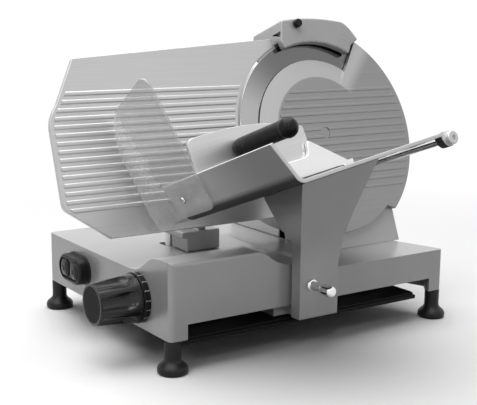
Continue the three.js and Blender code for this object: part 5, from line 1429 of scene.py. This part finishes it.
@dataclass
class BladeHead:
    """Blade, cover, housing and the belt drive behind them."""

    shop: Workshop
    blade_radius: float = 150.0
    guard_radius: float = 172.0
    skirt_radius: float = 157.0
    guard_start: float = 33.0
    guard_end: float = 139.0
    skirt_end: float = 196.0
    disc_radius: float = 117.0
    plateau_radius: float = 88.0
    front: float = 8.0
    housing_disc: float = 139.0
    neck_left: float = -38.0
    neck_right: float = 113.0
    flare_right: float = 116.0
    rim_inner: float = 153.0
    head_height: float = 234.0
    depth: float = 90.0
    cover_back: float = -1.0
    dome_rim: float = -2.6
    hollow_radius: float = 100.0
    rib_pitch: float = 12.0
    rib_width: float = 5.2
    rib_height: float = 1.2
    ribs_low: float = -96.0
    ribs_high: float = 80.0
    rib_margin: float = 3.5
    guard_margin: float = 7.0
    rim_front: float = 0.6
    dish_front: float = 18.0
    wall: float = 5.0
    boss_radius: float = 27.0
    bearing_seat: float = 21.3
    spindle_hole: float = 16.0
    lid_thickness: float = 3.0
    motor_hole: float = 14.0
    motor_centre: Point2 = (14.0, -114.0)
    bolt_hole: float = 5.3
    bolt_head: float = 8.72
    bolt_end: float = 26.0
    knob_radius: float = 19.0
    hub_radius: float = 10.0

    def blade(self) -> None:
        """The round knife."""
        profile = [
            (20, 8),
            (107.5, 8),
            (109, 7.6),
            (115.2, 0.9),
            (116.5, 0.5),
            (self.blade_radius - 0.3, 0.05),
            (self.blade_radius, 0.25),
            (141, 5),
            (119.5, 5),
            (111.5, 11.5),
            (20, 11.5),
        ]
        form = Form().revolve(Axis.Y, profile, (0, 0), 240, closed=True)
        self.shop.piece(form, "round_knife", Finish.BLADE, HEAD, "blade", ["blade"], 25)

    def _guard(self, inset: float) -> list[Point2]:
        """Outline of the guard over the blade's right side and of its skirt.

        Args:
            inset: how far it is drawn in.

        Returns:
            The outline's points.
        """
        start, end = radians(90 - self.guard_start), radians(90 - self.guard_end)
        skirt = radians(90 - self.skirt_end)
        low, high = self.skirt_radius - inset, self.guard_radius - inset
        return [(0, 0)] + arc(low, skirt, end - radians(3), 36) + arc(high, end, start, 64)

    def cover(self) -> None:
        """Domed and ribbed disc over the blade's middle, with the guard."""
        back, front, past = self.cover_back, -self.front, -self.front - CUT_PAST
        disc, plateau = self.disc_radius, self.plateau_radius
        slope = [(0, back), (disc, back), (disc, self.dome_rim), (plateau, front), (0, front)]
        dome = Form().revolve(Axis.Y, slope, steps=144)
        wing = Form().slab(Axis.Y, self._guard(0), front, back)
        wing.soften(1.2, 3, 50, lambda p: p.y < front + 0.1 and hypot(p.x, p.z) > self.hollow_radius)
        dome.fuse(wing).drilled(Axis.Y, self.hollow_radius, back - 3, CUT_PAST, steps=96)
        dome.fuse(Form().bar(Axis.Y, 14, front + 1, back))
        comb = rib_comb(self.ribs_low, self.ribs_high, self.rib_pitch, self.rib_width, self.rib_height, 1.0)
        ribs = Form().slab(Axis.X, comb, -self.guard_radius, self.guard_radius)
        ribs.moved(Matrix.Translation((0, front, 0)))
        field = Form().bar(Axis.Y, plateau - self.rib_margin, past, 0, steps=96)
        field.fuse(Form().slab(Axis.Y, self._guard(self.guard_margin), past, -0.5))
        dome.fuse(ribs.fuse(field, Cut.SHARE))
        dome.drilled(Axis.Y, self.bolt_hole, past, CUT_PAST, steps=32)
        dome.drilled(Axis.Y, self.bolt_head + 0.08, past, front + 2.6)
        reach = (self.rim_inner + self.guard_radius) / 2
        for share in (0.12, 0.5, 0.88):
            angle = radians(90 - self.guard_start - share * (self.guard_end - self.guard_start))
            dome.fuse(Form().bar(Axis.Y, 5, back - 1, SEAT, around(reach, angle), 24))
        self.shop.stand_in(dome, "blade_cover_disc", Finish.COVER, HEAD, "blade_cover", 28)

    def _housing(self, inset: float) -> list[Point2]:
        """Outline of the housing: the dish, the rim over the right side and the neck.

        Args:
            inset: how far it is drawn in.

        Returns:
            The outline's points.
        """
        right, left = self.neck_right - inset, self.neck_left + inset
        rim, disc = self.guard_radius - inset, self.housing_disc - inset
        start, end = radians(90 - self.guard_start), -acos(right / rim)
        left_angle = -pi + acos(-left / disc) + tau
        low = -self.head_height
        made = [(left, low), (right + self.flare_right - self.neck_right, low)]
        return made + arc(rim, end, start, 64) + arc(disc, start, left_angle, 64)

    def _rim(self) -> list[Point2]:
        """Outline of the raised rim and of the neck's front.

        Returns:
            The outline's points.
        """
        start, end = radians(90 - self.guard_start), -acos(self.neck_right / self.guard_radius)
        inner_end = -pi / 2 - asin(-self.neck_left / self.rim_inner)
        made = [(self.neck_left, -self.head_height), (self.flare_right, -self.head_height)]
        made += arc(self.guard_radius, end, start, 64)
        return made + arc(self.rim_inner, start, inner_end, 96)

    def _seated(self, form: Form) -> Form:
        """Cuts a leaning casting off at its seat on the base's top.

        Args:
            form: the casting.

        Returns:
            The same form.
        """
        point = HEAD.inverted() @ (BASE @ Vector((0, 0, BASE_TOP_RIGHT + SEAT)))
        normal = (HEAD.inverted().to_3x3() @ Vector((0, 0, -1))).normalized()
        return form.sliced(point, normal)

    def housing(self) -> None:
        """The dish behind the blade, and its rear cover."""
        front, wall, lid_front = self.dish_front, self.wall, self.depth + SEAT
        body = Form().slab(Axis.Y, self._housing(0), front, self.depth)
        body.soften(3.0, 4, 60, lambda p: p.y < front + 0.1)
        body.fuse(Form().slab(Axis.Y, self._housing(wall), front + wall, self.depth + CUT_PAST), Cut.TAKE)
        rim = Form().slab(Axis.Y, self._rim(), self.rim_front, front + 1)
        rim.soften(1.2, 3, 50, lambda p: p.y < self.rim_front + 0.1)
        body.fuse(rim).fuse(Form().bar(Axis.Y, self.boss_radius, front + 1, 57, steps=64))
        body.drilled(Axis.Y, self.bearing_seat, 25.7, 63, steps=64)
        body.drilled(Axis.Y, self.spindle_hole, 0, self.depth)
        self.shop.stand_in(self._seated(body), "housing_dish", Finish.HOUSING, HEAD, "blade_housing", 30)
        rear = lid_front + self.lid_thickness
        lid = Form().slab(Axis.Y, self._housing(0), lid_front, rear)
        lid.soften(0.8, 2, 60, lambda p: p.y > rear - 0.1)
        lid.drilled(Axis.Y, self.motor_hole, 0, lid_front + CUT_PAST, self.motor_centre)
        lid.drilled(Axis.Y, self.bolt_hole, 0, lid_front + CUT_PAST, steps=32)
        self.shop.stand_in(self._seated(lid), "rear_lid", Finish.SHEET, HEAD, "housing_rear_cover", 30)
        self._screws(rear)

    def _screws(self, level: float) -> None:
        """Slotted screws round the rear lid.

        Args:
            level: where the lid's rear face lies.
        """
        for i, angle in enumerate((20, 62, 110, 150, 195, 330)):
            x, z = around(162 if angle in (20, 330) else 130, radians(angle))
            corners = [(0, level - 0.8), (4.2, level - 0.8), (4.2, level + 1.2, 1.2), (0, level + 2.2)]
            head = Form().lathe(Axis.Y, corners, (x, z), 32)
            head.fuse(Form().box((x - 5, level + 1.0, z - 0.5), (x + 5, level + 4, z + 0.5)), Cut.TAKE)
            self.shop.piece(head, f"lid_screw_{i + 1}", Finish.BRIGHT, HEAD, "housing_rear_cover")

    def knob(self) -> None:
        """Five lobed knob on the rear end of the cover's tie rod."""
        front = self.depth + self.lid_thickness + 2 * SEAT
        pocket, middle, hub, reach = front + self.bolt_end, front + 10, self.hub_radius, self.knob_radius
        rear = pocket + SEAT + 2.6
        corners = [
            (self.bolt_hole, front),
            (hub, front, 1),
            (hub, middle, 2),
            (reach, middle + 2.6, 2),
            (reach, rear - 4, 3.5),
            (13, rear, 4),
            (0, rear),
        ]
        profile = [(0, pocket), (self.bolt_hole, pocket), *soft_path(corners, False)]

        def lobed(p: Vector) -> Vector:
            """Draws the grip in between its lobes.

            Args:
                p: a point of the knob.

            Returns:
                Its new place.
            """
            radius = hypot(p.x, p.z)
            if p.y < middle - 1 or radius < hub + 1:
                return p
            dip = 0.5 - 0.5 * cos(5 * atan2(p.z, p.x))
            scale = 1 - 0.26 * dip**1.4 * min(1, (p.y - middle + 1) / 3) * (radius - hub - 1) / 8
            return Vector((p.x * scale, p.y, p.z * scale))

        form = Form().revolve(Axis.Y, profile, steps=120).shaped(lobed)
        self.shop.stand_in(form, "cover_knob_lobed", Finish.PLASTIC, HEAD, "cover_knob", 50)

    def bolt(self) -> None:
        """Tie rod with its smooth round head in the cover's middle."""
        top, head = -self.front + SEAT, self.bolt_head
        end = self.depth + self.lid_thickness + SEAT + self.bolt_end
        corners = [(0, top), (head, top, 0.15), (head, top + 2), (5, top + 2), (5, end, 1), (0, end)]
        self.shop.stand_in(Form().lathe(Axis.Y, corners), "tie_bolt", Finish.COVER, HEAD, "cover_tie_rod")

    def build(self) -> None:
        """Builds the head."""
        self.blade()
        self.cover()
        self.housing()
        self.knob()
        self.bolt()
        keep = self.shop.keep
        keep(Finish.GROUND, "blade_spindle", "bearing_front", "bearing_rear", "motor_shaft", "sharpener_post")
        keep(Finish.HOUSING, "blade_pulley", "motor_pulley")
        keep(Finish.RUBBER, "drive_belt")
        self.shop.refine("motor_body", Finish.MOTOR, 0.6)
        self.shop.refine("motor_shroud", Finish.SHEET, 2.0, 3)


@dataclass
class Sharpener:
    """Sharpener casting over the blade's top, with two stones and their buttons."""

    shop: Workshop
    front: float = 16.0
    back: float = 64.0
    arc_radius: float = 142.0
    left_top: float = -50.0
    left_side: float = -57.0
    side_foot: float = 147.0
    top: float = 181.0
    top_right: Point2 = (62.0, 176.0)
    nose: Point2 = (88.0, 157.0)
    tip: Point2 = (96.0, 146.0)
    notch: Point2 = (80.0, 137.0)
    stone_radius: float = 17.0
    stone_reach: float = 160.0
    grinding_angle: float = -11.0
    deburring_angle: float = 24.0
    blade_room: float = 155.0
    button_hole: float = 4.0
    post_hole: float = 6.3
    post_centre: Point2 = (30.0, 44.0)
    knob_centre: Point2 = (-23.0, 171.0)
    knob_radius: float = 6.5

    def _outline(self) -> list[Point2]:
        """Outline of the casting seen from the front.

        Returns:
            The outline's points.
        """
        foot = self.left_side + self.side_foot - self.arc_radius
        start, end = acos(foot / self.arc_radius), atan2(self.notch[1], self.notch[0])
        made = [(self.left_side, self.side_foot)] + arc(self.arc_radius, start, end, 40)
        made += [self.notch, self.tip, self.nose]
        bend_to(made, ((self.nose[0] + self.top_right[0]) / 2, self.top_right[1]), self.top_right, 10)
        middle = ((self.left_top + self.top_right[0]) / 2, self.top + 4)
        bend_to(made, middle, (self.left_top, self.top - 4), 16)
        return made

    def _stone_centre(self, angle: float) -> Point2:
        """Centre of a stone at an angle from the top."""
        return (self.stone_reach * sin(radians(angle)), self.stone_reach * cos(radians(angle)))

    def casting(self) -> None:
        """The casting, with the rooms of the blade's edge, the stones, their buttons and the post."""
        body = Form().slab(Axis.Y, self._outline(), -self.front, self.back)
        body.soften(3.2, 5, 40)
        body.drilled(Axis.Y, self.blade_room, -4.5, 6.5, steps=160)
        grind, deburr = self._stone_centre(self.grinding_angle), self._stone_centre(self.deburring_angle)
        room = self.stone_radius + 2 * SEAT
        body.drilled(Axis.Y, room, 3.6, 14.6, grind)
        body.drilled(Axis.Y, room, -11.4, 0, deburr)
        body.drilled(Axis.Y, self.button_hole, 0, 70, grind, 24)
        body.drilled(Axis.Y, self.button_hole, -5, 70, deburr, 24)
        body.drilled(Axis.Z, self.post_hole, 0, self.top - 4, self.post_centre, 32)
        body.drilled(Axis.Y, SCREW_HOLE, -22, -8, self.knob_centre, 24)
        near = -self.front + 2.5
        slot = [(near, 151.5), (8, 159.2), (8, 160.4), (near, 160.4)]
        body.fuse(Form().slab(Axis.X, slot, self.left_side - 8, self.left_top + 3), Cut.TAKE)
        self.shop.stand_in(body, "sharpener_casting", Finish.HOOD, HEAD, "sharpener_body", 32)

    def _knurled(self, p: Vector) -> Vector:
        """Draws the thumb knob's rim in between its ridges.

        Args:
            p: a point of the knob.

        Returns:
            Its new place.
        """
        x, z = p.x - self.knob_centre[0], p.z - self.knob_centre[1]
        if hypot(x, z) < self.knob_radius - 0.7:
            return p
        scale = 1 - 0.05 * (0.5 + 0.5 * cos(18 * atan2(z, x)))
        return Vector((self.knob_centre[0] + x * scale, p.y, self.knob_centre[1] + z * scale))

    def thumb_knob(self) -> None:
        """Small knurled knob on the casting's front."""
        seat, rim, stem = -self.front - SEAT, self.knob_radius, SCREW_HOLE - SEAT
        outer = seat - 8
        corners = [
            (0, outer),
            (rim - 0.9, outer, 0.8),
            (rim, outer + 1.4, 1),
            (rim, seat, 0.6),
            (stem, seat),
            (stem, -9),
            (0, -9),
        ]
        form = Form().lathe(Axis.Y, corners, self.knob_centre, 72).shaped(self._knurled)
        self.shop.stand_in(form, "sharpener_thumb_knob", Finish.PLASTIC, HEAD, "sharpener_knob", 50)

    def stones(self) -> None:
        """Both stones, each with its push button behind the casting."""
        rim, hole, rear = self.stone_radius, self.button_hole, self.back + 4.1
        stem = hole - SEAT
        wheels = (("grinding", self.grinding_angle, 8.0), ("deburring", self.deburring_angle, -10.8))
        for name, angle, start in wheels:
            centre, end = self._stone_centre(angle), start + 6
            wheel = soft_path([(hole, start), (rim, start, 0.8), (rim, end, 0.8), (hole, end)], True, 3)
            stone = Form().revolve(Axis.Y, wheel, centre, 72, closed=True)
            self.shop.stand_in(stone, name + "_wheel", Finish.STONE, HEAD, name + "_stone")
            corners = [(0, start), (stem, start), (stem, rear)]
            corners += [(7, rear, 0.4), (7, rear + 9, 2.4), (0, rear + 9)]
            button = Form().lathe(Axis.Y, corners, centre, 40)
            self.shop.stand_in(button, name + "_plunger", Finish.PLASTIC, HEAD, name + "_button")

    def build(self) -> None:
        """Builds the sharpener."""
        self.casting()
        self.thumb_knob()
        self.stones()


@dataclass
class HandGuard:
    """Clear guard outside the tray's wall, bent round towards the near side, and its screw."""

    shop: Workshop
    thickness: float = 3.0
    near: float = 10.0
    bend: float = 9.0
    wing: float = 38.0
    low: float = 7.0
    high: float = 197.0
    fold: float = 176.0
    reach: float = 105.0
    top_reach: float = 126.0
    top_corner: float = 16.0
    low_corner: float = 10.0

    def _section(self) -> list[Point2]:
        """Section of the bent sheet along the wall.

        Returns:
            The section's points.
        """
        thick, bend = self.thickness, self.bend
        middle = (-SEAT - bend, -self.near - thick - bend)
        made = [(-SEAT, -self.top_reach), *arc(bend, 0, pi / 2, 16, middle)]
        made += [(-self.wing, -self.near - thick), (-self.wing, -self.near - 2 * thick)]
        made += arc(bend - thick, pi / 2, 0, 16, middle)
        made.append((-SEAT - thick, -self.top_reach))
        return made

    def sheet(self) -> None:
        """The sheet, cut to its outlines from the side and from the near end."""
        low, high, wing, corner = self.low, self.high, -self.wing, self.low_corner
        outer, reach, top_reach = -SEAT - self.thickness, -self.reach, -self.top_reach
        sheet = Form().slab(Axis.Z, self._section(), low, high)
        side = [(-self.near, low - CUT_PAST), (-self.near, self.fold), (top_reach + self.top_corner, high)]
        bend_to(side, (top_reach, high), (top_reach, high - self.top_corner), 10)
        side.append((reach, low + corner))
        bend_to(side, (reach, low), (reach + corner, low), 8)
        side.append((reach + corner, low - CUT_PAST))
        face = [(CUT_PAST, low), (CUT_PAST, high + CUT_PAST), (outer, high + CUT_PAST), (outer, self.fold)]
        bend_to(face, (-31, 138), (-31, 100), 14)
        face += [(wing, low + 30), (wing, low + corner)]
        bend_to(face, (wing, low), (wing + corner, low), 8)
        sheet.fuse(Form().slab(Axis.X, side, wing - CUT_PAST, CUT_PAST), Cut.SHARE)
        sheet.fuse(Form().slab(Axis.Y, face, top_reach - CUT_PAST, 0), Cut.SHARE)
        sheet.drilled(Axis.X, SCREW_HOLE, -12, CUT_PAST, GUARD_SCREW, 24)
        self.shop.stand_in(sheet, "clear_guard", Finish.CLEAR, WALL, "hand_guard", 28)

    def screw(self) -> None:
        """Slotted screw through the sheet and the wall."""
        edge, stem = -2 * SEAT - self.thickness, SCREW_HOLE - SEAT
        corners = [
            (0, edge - 3.4),
            (4.2, edge - 3.2, 1.4),
            (5.2, edge - 1.8, 1),
            (5.2, edge, 0.3),
            (stem, edge),
            (stem, edge + 6),
            (0, edge + 6),
        ]
        form = Form().lathe(Axis.X, corners, GUARD_SCREW)
        y, z = GUARD_SCREW
        form.fuse(Form().box((edge - 5, y - 6, z - 0.6), (edge - 2, y + 6, z + 0.6)), Cut.TAKE)
        self.shop.stand_in(form, "guard_thumb_screw", Finish.GROUND, WALL, "guard_screw")

    def build(self) -> None:
        """Builds the guard."""
        self.sheet()
        self.screw()


@dataclass
class Carriage:
    """Arm, lock knob, tray, hand guard and rod of the food carriage."""

    shop: Workshop
    floor_right: float = 254.0
    floor_thickness: float = 5.0
    wall_lean: float = 15.0
    wall_height: float = 57.0
    bend: float = 15.0
    near: float = 12.0
    far: float = 276.0
    boss: Point2 = (265.0, -5.2)
    boss_radius: float = 10.5
    rod_radius: float = 5.0
    stud_radius: float = 2.9
    nut_length: float = 8.0
    nut_radius: float = 9.0
    lock_centre: Point2 = (207.0, 54.0)
    lock_radius: float = 7.8
    lock_waist: float = 6.0
    lock_collar: float = 8.4

    def _section(self) -> list[Point2]:
        """Section of the bent tray sheet across its depth.

        Returns:
            The section's points.
        """
        lean = radians(self.wall_lean)
        t = self.floor_thickness
        outward, inward = (-sin(lean), cos(lean)), (cos(lean), sin(lean))
        centre = (self.bend * tan(pi / 4 + lean / 2), self.bend)
        top = (outward[0] * self.wall_height, outward[1] * self.wall_height)
        lip = (top[0] + inward[0] * t, top[1] + inward[1] * t)
        made = [(self.floor_right, 0), (self.floor_right, t)]
        made += arc(self.bend - t, -pi / 2, lean - pi, 20, centre)
        made += [lip, top]
        return made + arc(self.bend, lean + pi, 3 * pi / 2, 20, centre)

    def tray(self) -> None:
        """Bent sheet tray with the two bosses of the pusher rod."""
        sheet = Form().slab(Axis.Y, self._section(), -self.far, -self.near)
        sheet.soften(0.9, 2, 50)
        for start, end in ((-self.far, -self.far + 14), (-self.near - 9, -self.near)):
            sheet.fuse(Form().bar(Axis.Y, self.boss_radius, start, end, self.boss).soften(0.8, 2, 50))
            low = (self.floor_right - 1, start + 0.2, self.boss[1])
            high = (self.boss[0], end - 0.2, self.floor_thickness - 0.1)
            sheet.fuse(Form().box(low, high))
        sheet.drilled(Axis.Y, self.rod_radius + SEAT, -self.far - CUT_PAST, 0, self.boss, 40)
        hole = Form().bar(Axis.X, SCREW_HOLE, -12, 12, GUARD_SCREW, 24).moved(TRAY.inverted() @ WALL)
        sheet.fuse(hole, Cut.TAKE)
        self.shop.stand_in(sheet, "tray_sheet", Finish.TRAY, TRAY, "product_tray", 30)

    def lock(self) -> None:
        """Bright clamp knob that holds the arm on the carriage block."""
        root, stem_end, grip, waist = -24.3, -50.3, self.lock_radius, self.lock_waist
        end = stem_end - 22
        corners = [
            (0, end - 0.6),
            (waist, end, 2),
            (grip, end + 3, 3),
            (grip, stem_end - 4, 3),
            (waist, stem_end, 3),
            (waist, root - 7, 1),
            (self.lock_collar, root - 6, 1.5),
            (self.lock_collar, root, 0.6),
            (5, root),
            (5, -10),
            (0, -10),
        ]
        form = Form().lathe(Axis.Y, corners, self.lock_centre, 64)
        self.shop.stand_in(form, "lock_grip", Finish.BRIGHT, BASE, "tray_lock_knob", 40)

    def rod(self) -> None:
        """Pusher rod under the tray's right edge, and its end nut."""
        front, seat = -self.far - self.nut_length, -self.far - SEAT
        end, reach, stud = front + 1 + SEAT, self.rod_radius, self.stud_radius
        section = [(0, end + 6), (stud, end + 6), (stud, end)]
        section += [(reach, end), (reach, -self.near), (0, -self.near)]
        rod = Form().revolve(Axis.Y, section, self.boss, 48)
        self.shop.stand_in(rod, "pusher_slide_rod", Finish.BRIGHT, TRAY, "pusher_rod")
        corners = [
            (3.1, front),
            (self.nut_radius - 1, front, 0.6),
            (self.nut_radius, front + 1.2, 0.8),
            (self.nut_radius, seat, 0.4),
            (reach + SEAT, seat),
            (reach + SEAT, front + 1),
            (3.1, front + 1),
        ]
        nut = Form().revolve(Axis.Y, soft_path(corners), self.boss, 48, closed=True)
        self.shop.stand_in(nut, "rod_end_nut", Finish.NUT, TRAY, "pusher_rod_nut", 40)

    def build(self) -> None:
        """Builds the carriage."""
        self.shop.refine("carriage_arm", Finish.CASTING, 1.6, 3)
        self.lock()
        self.tray()
        HandGuard(self.shop).build()
        self.rod()
        self.shop.keep(Finish.CASTING, "carriage_block")
        self.shop.keep(Finish.BRONZE, "bushing_left", "bushing_right")
        self.shop.keep(Finish.GROUND, "bar_roller")


@dataclass
class Pusher:
    """Toothed plate, polished arm with its sleeve, and the round handle."""

    shop: Workshop
    at: float = 60.0
    thickness: float = 6.0
    left: float = 12.0
    right: float = 210.0
    low: float = 11.0
    tops: tuple[float, float, float] = (105.0, 103.0, 81.0)
    corner: float = 14.0
    right_corner: float = 7.0
    tooth: float = 4.5
    tooth_pitch: float = 9.0
    boss: Point2 = (265.0, -5.2)
    sleeve_radius: float = 9.3
    sleeve_length: float = 50.0
    bush_bore: float = 5.3
    bush_radius: float = 7.1
    grip_centre: Point2 = (90.0, 74.0)
    grip_length: float = 118.0
    grip_radius: float = 13.0
    ball_radius: float = 14.0
    stud_radius: float = 4.0

    def plate(self) -> None:
        """Plate that holds the food, toothed towards it."""
        left, right, low, corner, small = self.left, self.right, self.low, self.corner, self.right_corner
        back, front = -self.at, -self.at - self.thickness
        top_left, top_mid, top_right = self.tops
        span = right - left
        outline = [(left, low + corner)]
        bend_to(outline, (left, low), (left + corner, low), 8)
        outline += [(right, low), (right, top_right - small)]
        bend_to(outline, (right, top_right), (right - small, top_right), 8)
        bend_to(outline, (left + span * 2 / 3, top_mid), (left + span / 3, top_left), 20)
        outline.append((left + corner, top_left))
        bend_to(outline, (left, top_left), (left, top_left - corner), 8)
        sheet = Form().slab(Axis.Y, outline, front, back)
        sheet.soften(1.2, 3, 50)
        first, pitch = low + 10, self.tooth_pitch
        rows = int((top_right - low - 20) / pitch)
        teeth: list[Point2] = [(0, first)]
        for i in range(rows):
            level = first + i * pitch
            teeth += [(self.tooth, level + pitch / 3), (0, level + pitch * 2 / 3), (0, level + pitch)]
        teeth += [(-1, first + rows * pitch), (-1, first)]
        ridge = Form().slab(Axis.X, teeth, left + 20, right - 10)
        sheet.fuse(ridge.moved(Matrix.Translation((0, back, 0))))
        sheet.drilled(Axis.Y, self.stud_radius + SEAT, front - CUT_PAST, front + 4, self.grip_centre, 32)
        self.shop.stand_in(sheet, "pusher_face", Finish.PUSHER, TRAY, "pusher_plate", 30)

    def arm(self) -> None:
        """Polished arm over the tray's floor with the sleeve that slides on the rod."""
        back = -self.at - self.thickness - SEAT
        front, start, (x, z) = back - 7, -self.at - self.sleeve_length, self.boss
        low, top, reach = 5.7, 11.7, self.sleeve_radius
        outline = [(150, low), (x, low), (x, top), (254, 20, 5), (203, 58, 9), (197, 34, 8), (150, 34, 4)]
        bar = Form().slab(Axis.Y, soft_path(outline, True, 8), front, back)
        bar.soften(1.5, 3, 50)
        bar.fuse(Form().bar(Axis.Y, reach, start, -self.at, self.boss, 56).soften(0.9, 2, 50))
        bar.fuse(Form().box((x - reach + 0.1, front + 0.2, z), (x + reach - 0.1, back - 0.2, top - 0.2)))
        bar.drilled(Axis.Y, self.bush_radius + SEAT, start - CUT_PAST, CUT_PAST, self.boss)
        self.shop.stand_in(bar, "pusher_arm_polished", Finish.BRIGHT, TRAY, "pusher_arm", 35)
        bore, outer = self.bush_bore, self.bush_radius
        ring = [(bore, start), (outer, start), (outer, -self.at), (bore, -self.at)]
        bush = Form().revolve(Axis.Y, ring, self.boss, 48, closed=True)
        self.shop.stand_in(bush, "pusher_liner", Finish.PLASTIC, TRAY, "pusher_bush")

    def handle(self) -> None:
        """Round handle with a ball end."""
        root = -self.at - self.thickness - SEAT
        end = root - self.grip_length
        ball, radius, stud = self.ball_radius, self.grip_radius, self.stud_radius
        neck = [(stud, root), (radius - 2, root, 0.8), (radius, root - 8, 5), (radius - 0.4, end + 22, 8)]
        profile = [(0, root + 4), (stud, root + 4), *soft_path(neck, False)]
        first = asin(radius / ball)
        angles = [first + (pi - first) * i / 20 for i in range(20)]
        profile += [(ball * sin(t), end + ball * cos(t)) for t in angles]
        profile.append((0, end - ball))
        form = Form().revolve(Axis.Y, profile, self.grip_centre, 72)
        self.shop.stand_in(form, "pusher_grip", Finish.PLASTIC, TRAY, "pusher_handle", 50)

    def build(self) -> None:
        """Builds the pusher."""
        self.plate()
        self.arm()
        self.handle()


@dataclass
class Studio:
    """Pale floor, soft lamps, white surroundings and the camera."""

    eye: tuple[float, float, float] = (-620.1, -1060.2, 418.7)
    right: tuple[float, float, float] = (0.827, -0.562, 0.011)
    up: tuple[float, float, float] = (0.0964, 0.161, 0.982)
    lens: float = 75.7
    sensor: float = 36.0
    floor_tone: float = 0.2
    world_level: float = 0.12

    def camera(self) -> None:
        """Camera at the photograph's place."""
        data = bpy.data.cameras.new("camera")
        data.lens, data.sensor_width, data.clip_end = self.lens, self.sensor, 60
        right = Vector(self.right).normalized()
        back = right.cross(Vector(self.up)).normalized()
        up = back.cross(right)
        turn = Matrix((right, up, back)).transposed().to_4x4()
        holder = bpy.data.objects.new("camera", data)
        bpy.context.scene.collection.objects.link(holder)
        holder.matrix_world = Matrix.Translation(BASE @ Vector(self.eye)) @ turn
        bpy.context.scene.camera = holder

    def lamp(
        self, name: str, place: Sequence[float], size: Point2, watts: float, aim: Sequence[float]
    ) -> None:
        """One soft rectangular lamp.

        Args:
            name: its name.
            place: where it stands, in metres.
            size: its width and height, in metres.
            watts: its power.
            aim: the point it faces.
        """
        data = bpy.data.lights.new(name, "AREA")
        data.shape, data.size, data.size_y, data.energy = "RECTANGLE", size[0], size[1], watts
        holder = bpy.data.objects.new(name, data)
        bpy.context.scene.collection.objects.link(holder)
        holder.location = place
        holder.rotation_euler = (Vector(aim) - Vector(place)).to_track_quat("-Z", "Y").to_euler()
        holder.visible_camera = False

    def floor(self) -> None:
        """Plain pale floor that keeps the shadow and fades to white far from the object."""
        form = bmesh.new()
        bmesh.ops.create_grid(form, x_segments=1, y_segments=1, size=14)
        data = bpy.data.meshes.new("floor")
        form.to_mesh(data)
        form.free()
        r = Recipe(bpy.data.materials.new("floor_card"))
        seen, point = self._seen(r), r.point()
        far = r.out("ShaderNodeVectorMath", {"operation": "LENGTH"}, {0: point}, 1).above(0.95, 1.2) * seen
        near = r.blend(seen, grey(self.floor_tone), grey(0.97))
        paint = r.done(
            Base_Color=r.blend(far, near, grey(0)),
            Roughness=0.85 + r.noise(point, 3.0) * 0.1,
            Specular_IOR_Level=0.1,
            Emission_Color=r.blend(far, grey(0), grey(1)),
            Emission_Strength=1.0,
        )
        data.materials.append(paint)
        shape = bpy.data.objects.new("floor", data)
        bpy.context.scene.collection.objects.link(shape)

    def _seen(self, recipe: Recipe) -> Wire:
        """Tells the rays that show the surroundings: from the camera, in gloss and through glass.

        Args:
            recipe: the node tree it is for.

        Returns:
            1 for such rays, 0 for others.
        """
        path = recipe.node("ShaderNodeLightPath")
        camera, glossy, clear = (
            Wire(recipe, path.outputs[k]) for k in ("Is Camera Ray", "Is Glossy Ray", "Is Transmission Ray")
        )
        both = recipe.out("ShaderNodeMath", {"operation": "MAXIMUM"}, {0: camera, 1: glossy})
        return recipe.out("ShaderNodeMath", {"operation": "MAXIMUM"}, {0: both, 1: clear})

    def world(self) -> None:
        """White surroundings that light the object only a little."""
        r = Recipe(bpy.data.worlds.new("surroundings"))
        bpy.context.scene.world = r.done(
            Color=(1, 1, 1, 1), Strength=self._seen(r) * (1 - self.world_level) + self.world_level
        )

    def build(self) -> None:
        """Sets the studio."""
        bpy.context.scene.view_settings.view_transform = "Standard"
        self.camera()
        self.floor()
        self.world()
        self.lamp("overhead", (-0.2, 0.2, 2.3), (2.6, 2.4), 65, (0, 0, 0.1))
        self.lamp("left_fill", (-1.9, -0.7, 1.5), (0.6, 0.9), 5, (0, 0, 0.15))
        self.lamp("front_fill", (0.9, -2.3, 1.3), (1.4, 1.2), 1.5, (0, 0, 0.15))
        self.lamp("rear_rim", (-0.6, 1.9, 1.3), (1.8, 0.5), 1.5, (0, 0, 0.15))
        self.lamp("sparkle", (-1.3, -1.9, 1.9), (0.3, 0.3), 4, (0, 0, 0.15))


def main() -> None:
    """Builds the slicer, piece by piece, and the studio round it."""
    logging.basicConfig(level=logging.INFO, format="%(message)s")
    shop = Workshop()
    Studio().build()
    low_half = (BaseCasting, SwitchPanel, ThicknessDial, GaugeAssembly)
    high_half = (BladeHead, Sharpener, Carriage, Pusher)
    for assembly in low_half + high_half:
        assembly(shop).build()
        log.info("%s built", assembly.__name__)
    log.info("%d pieces", shop.count)


if __name__ == "__main__":
    main()
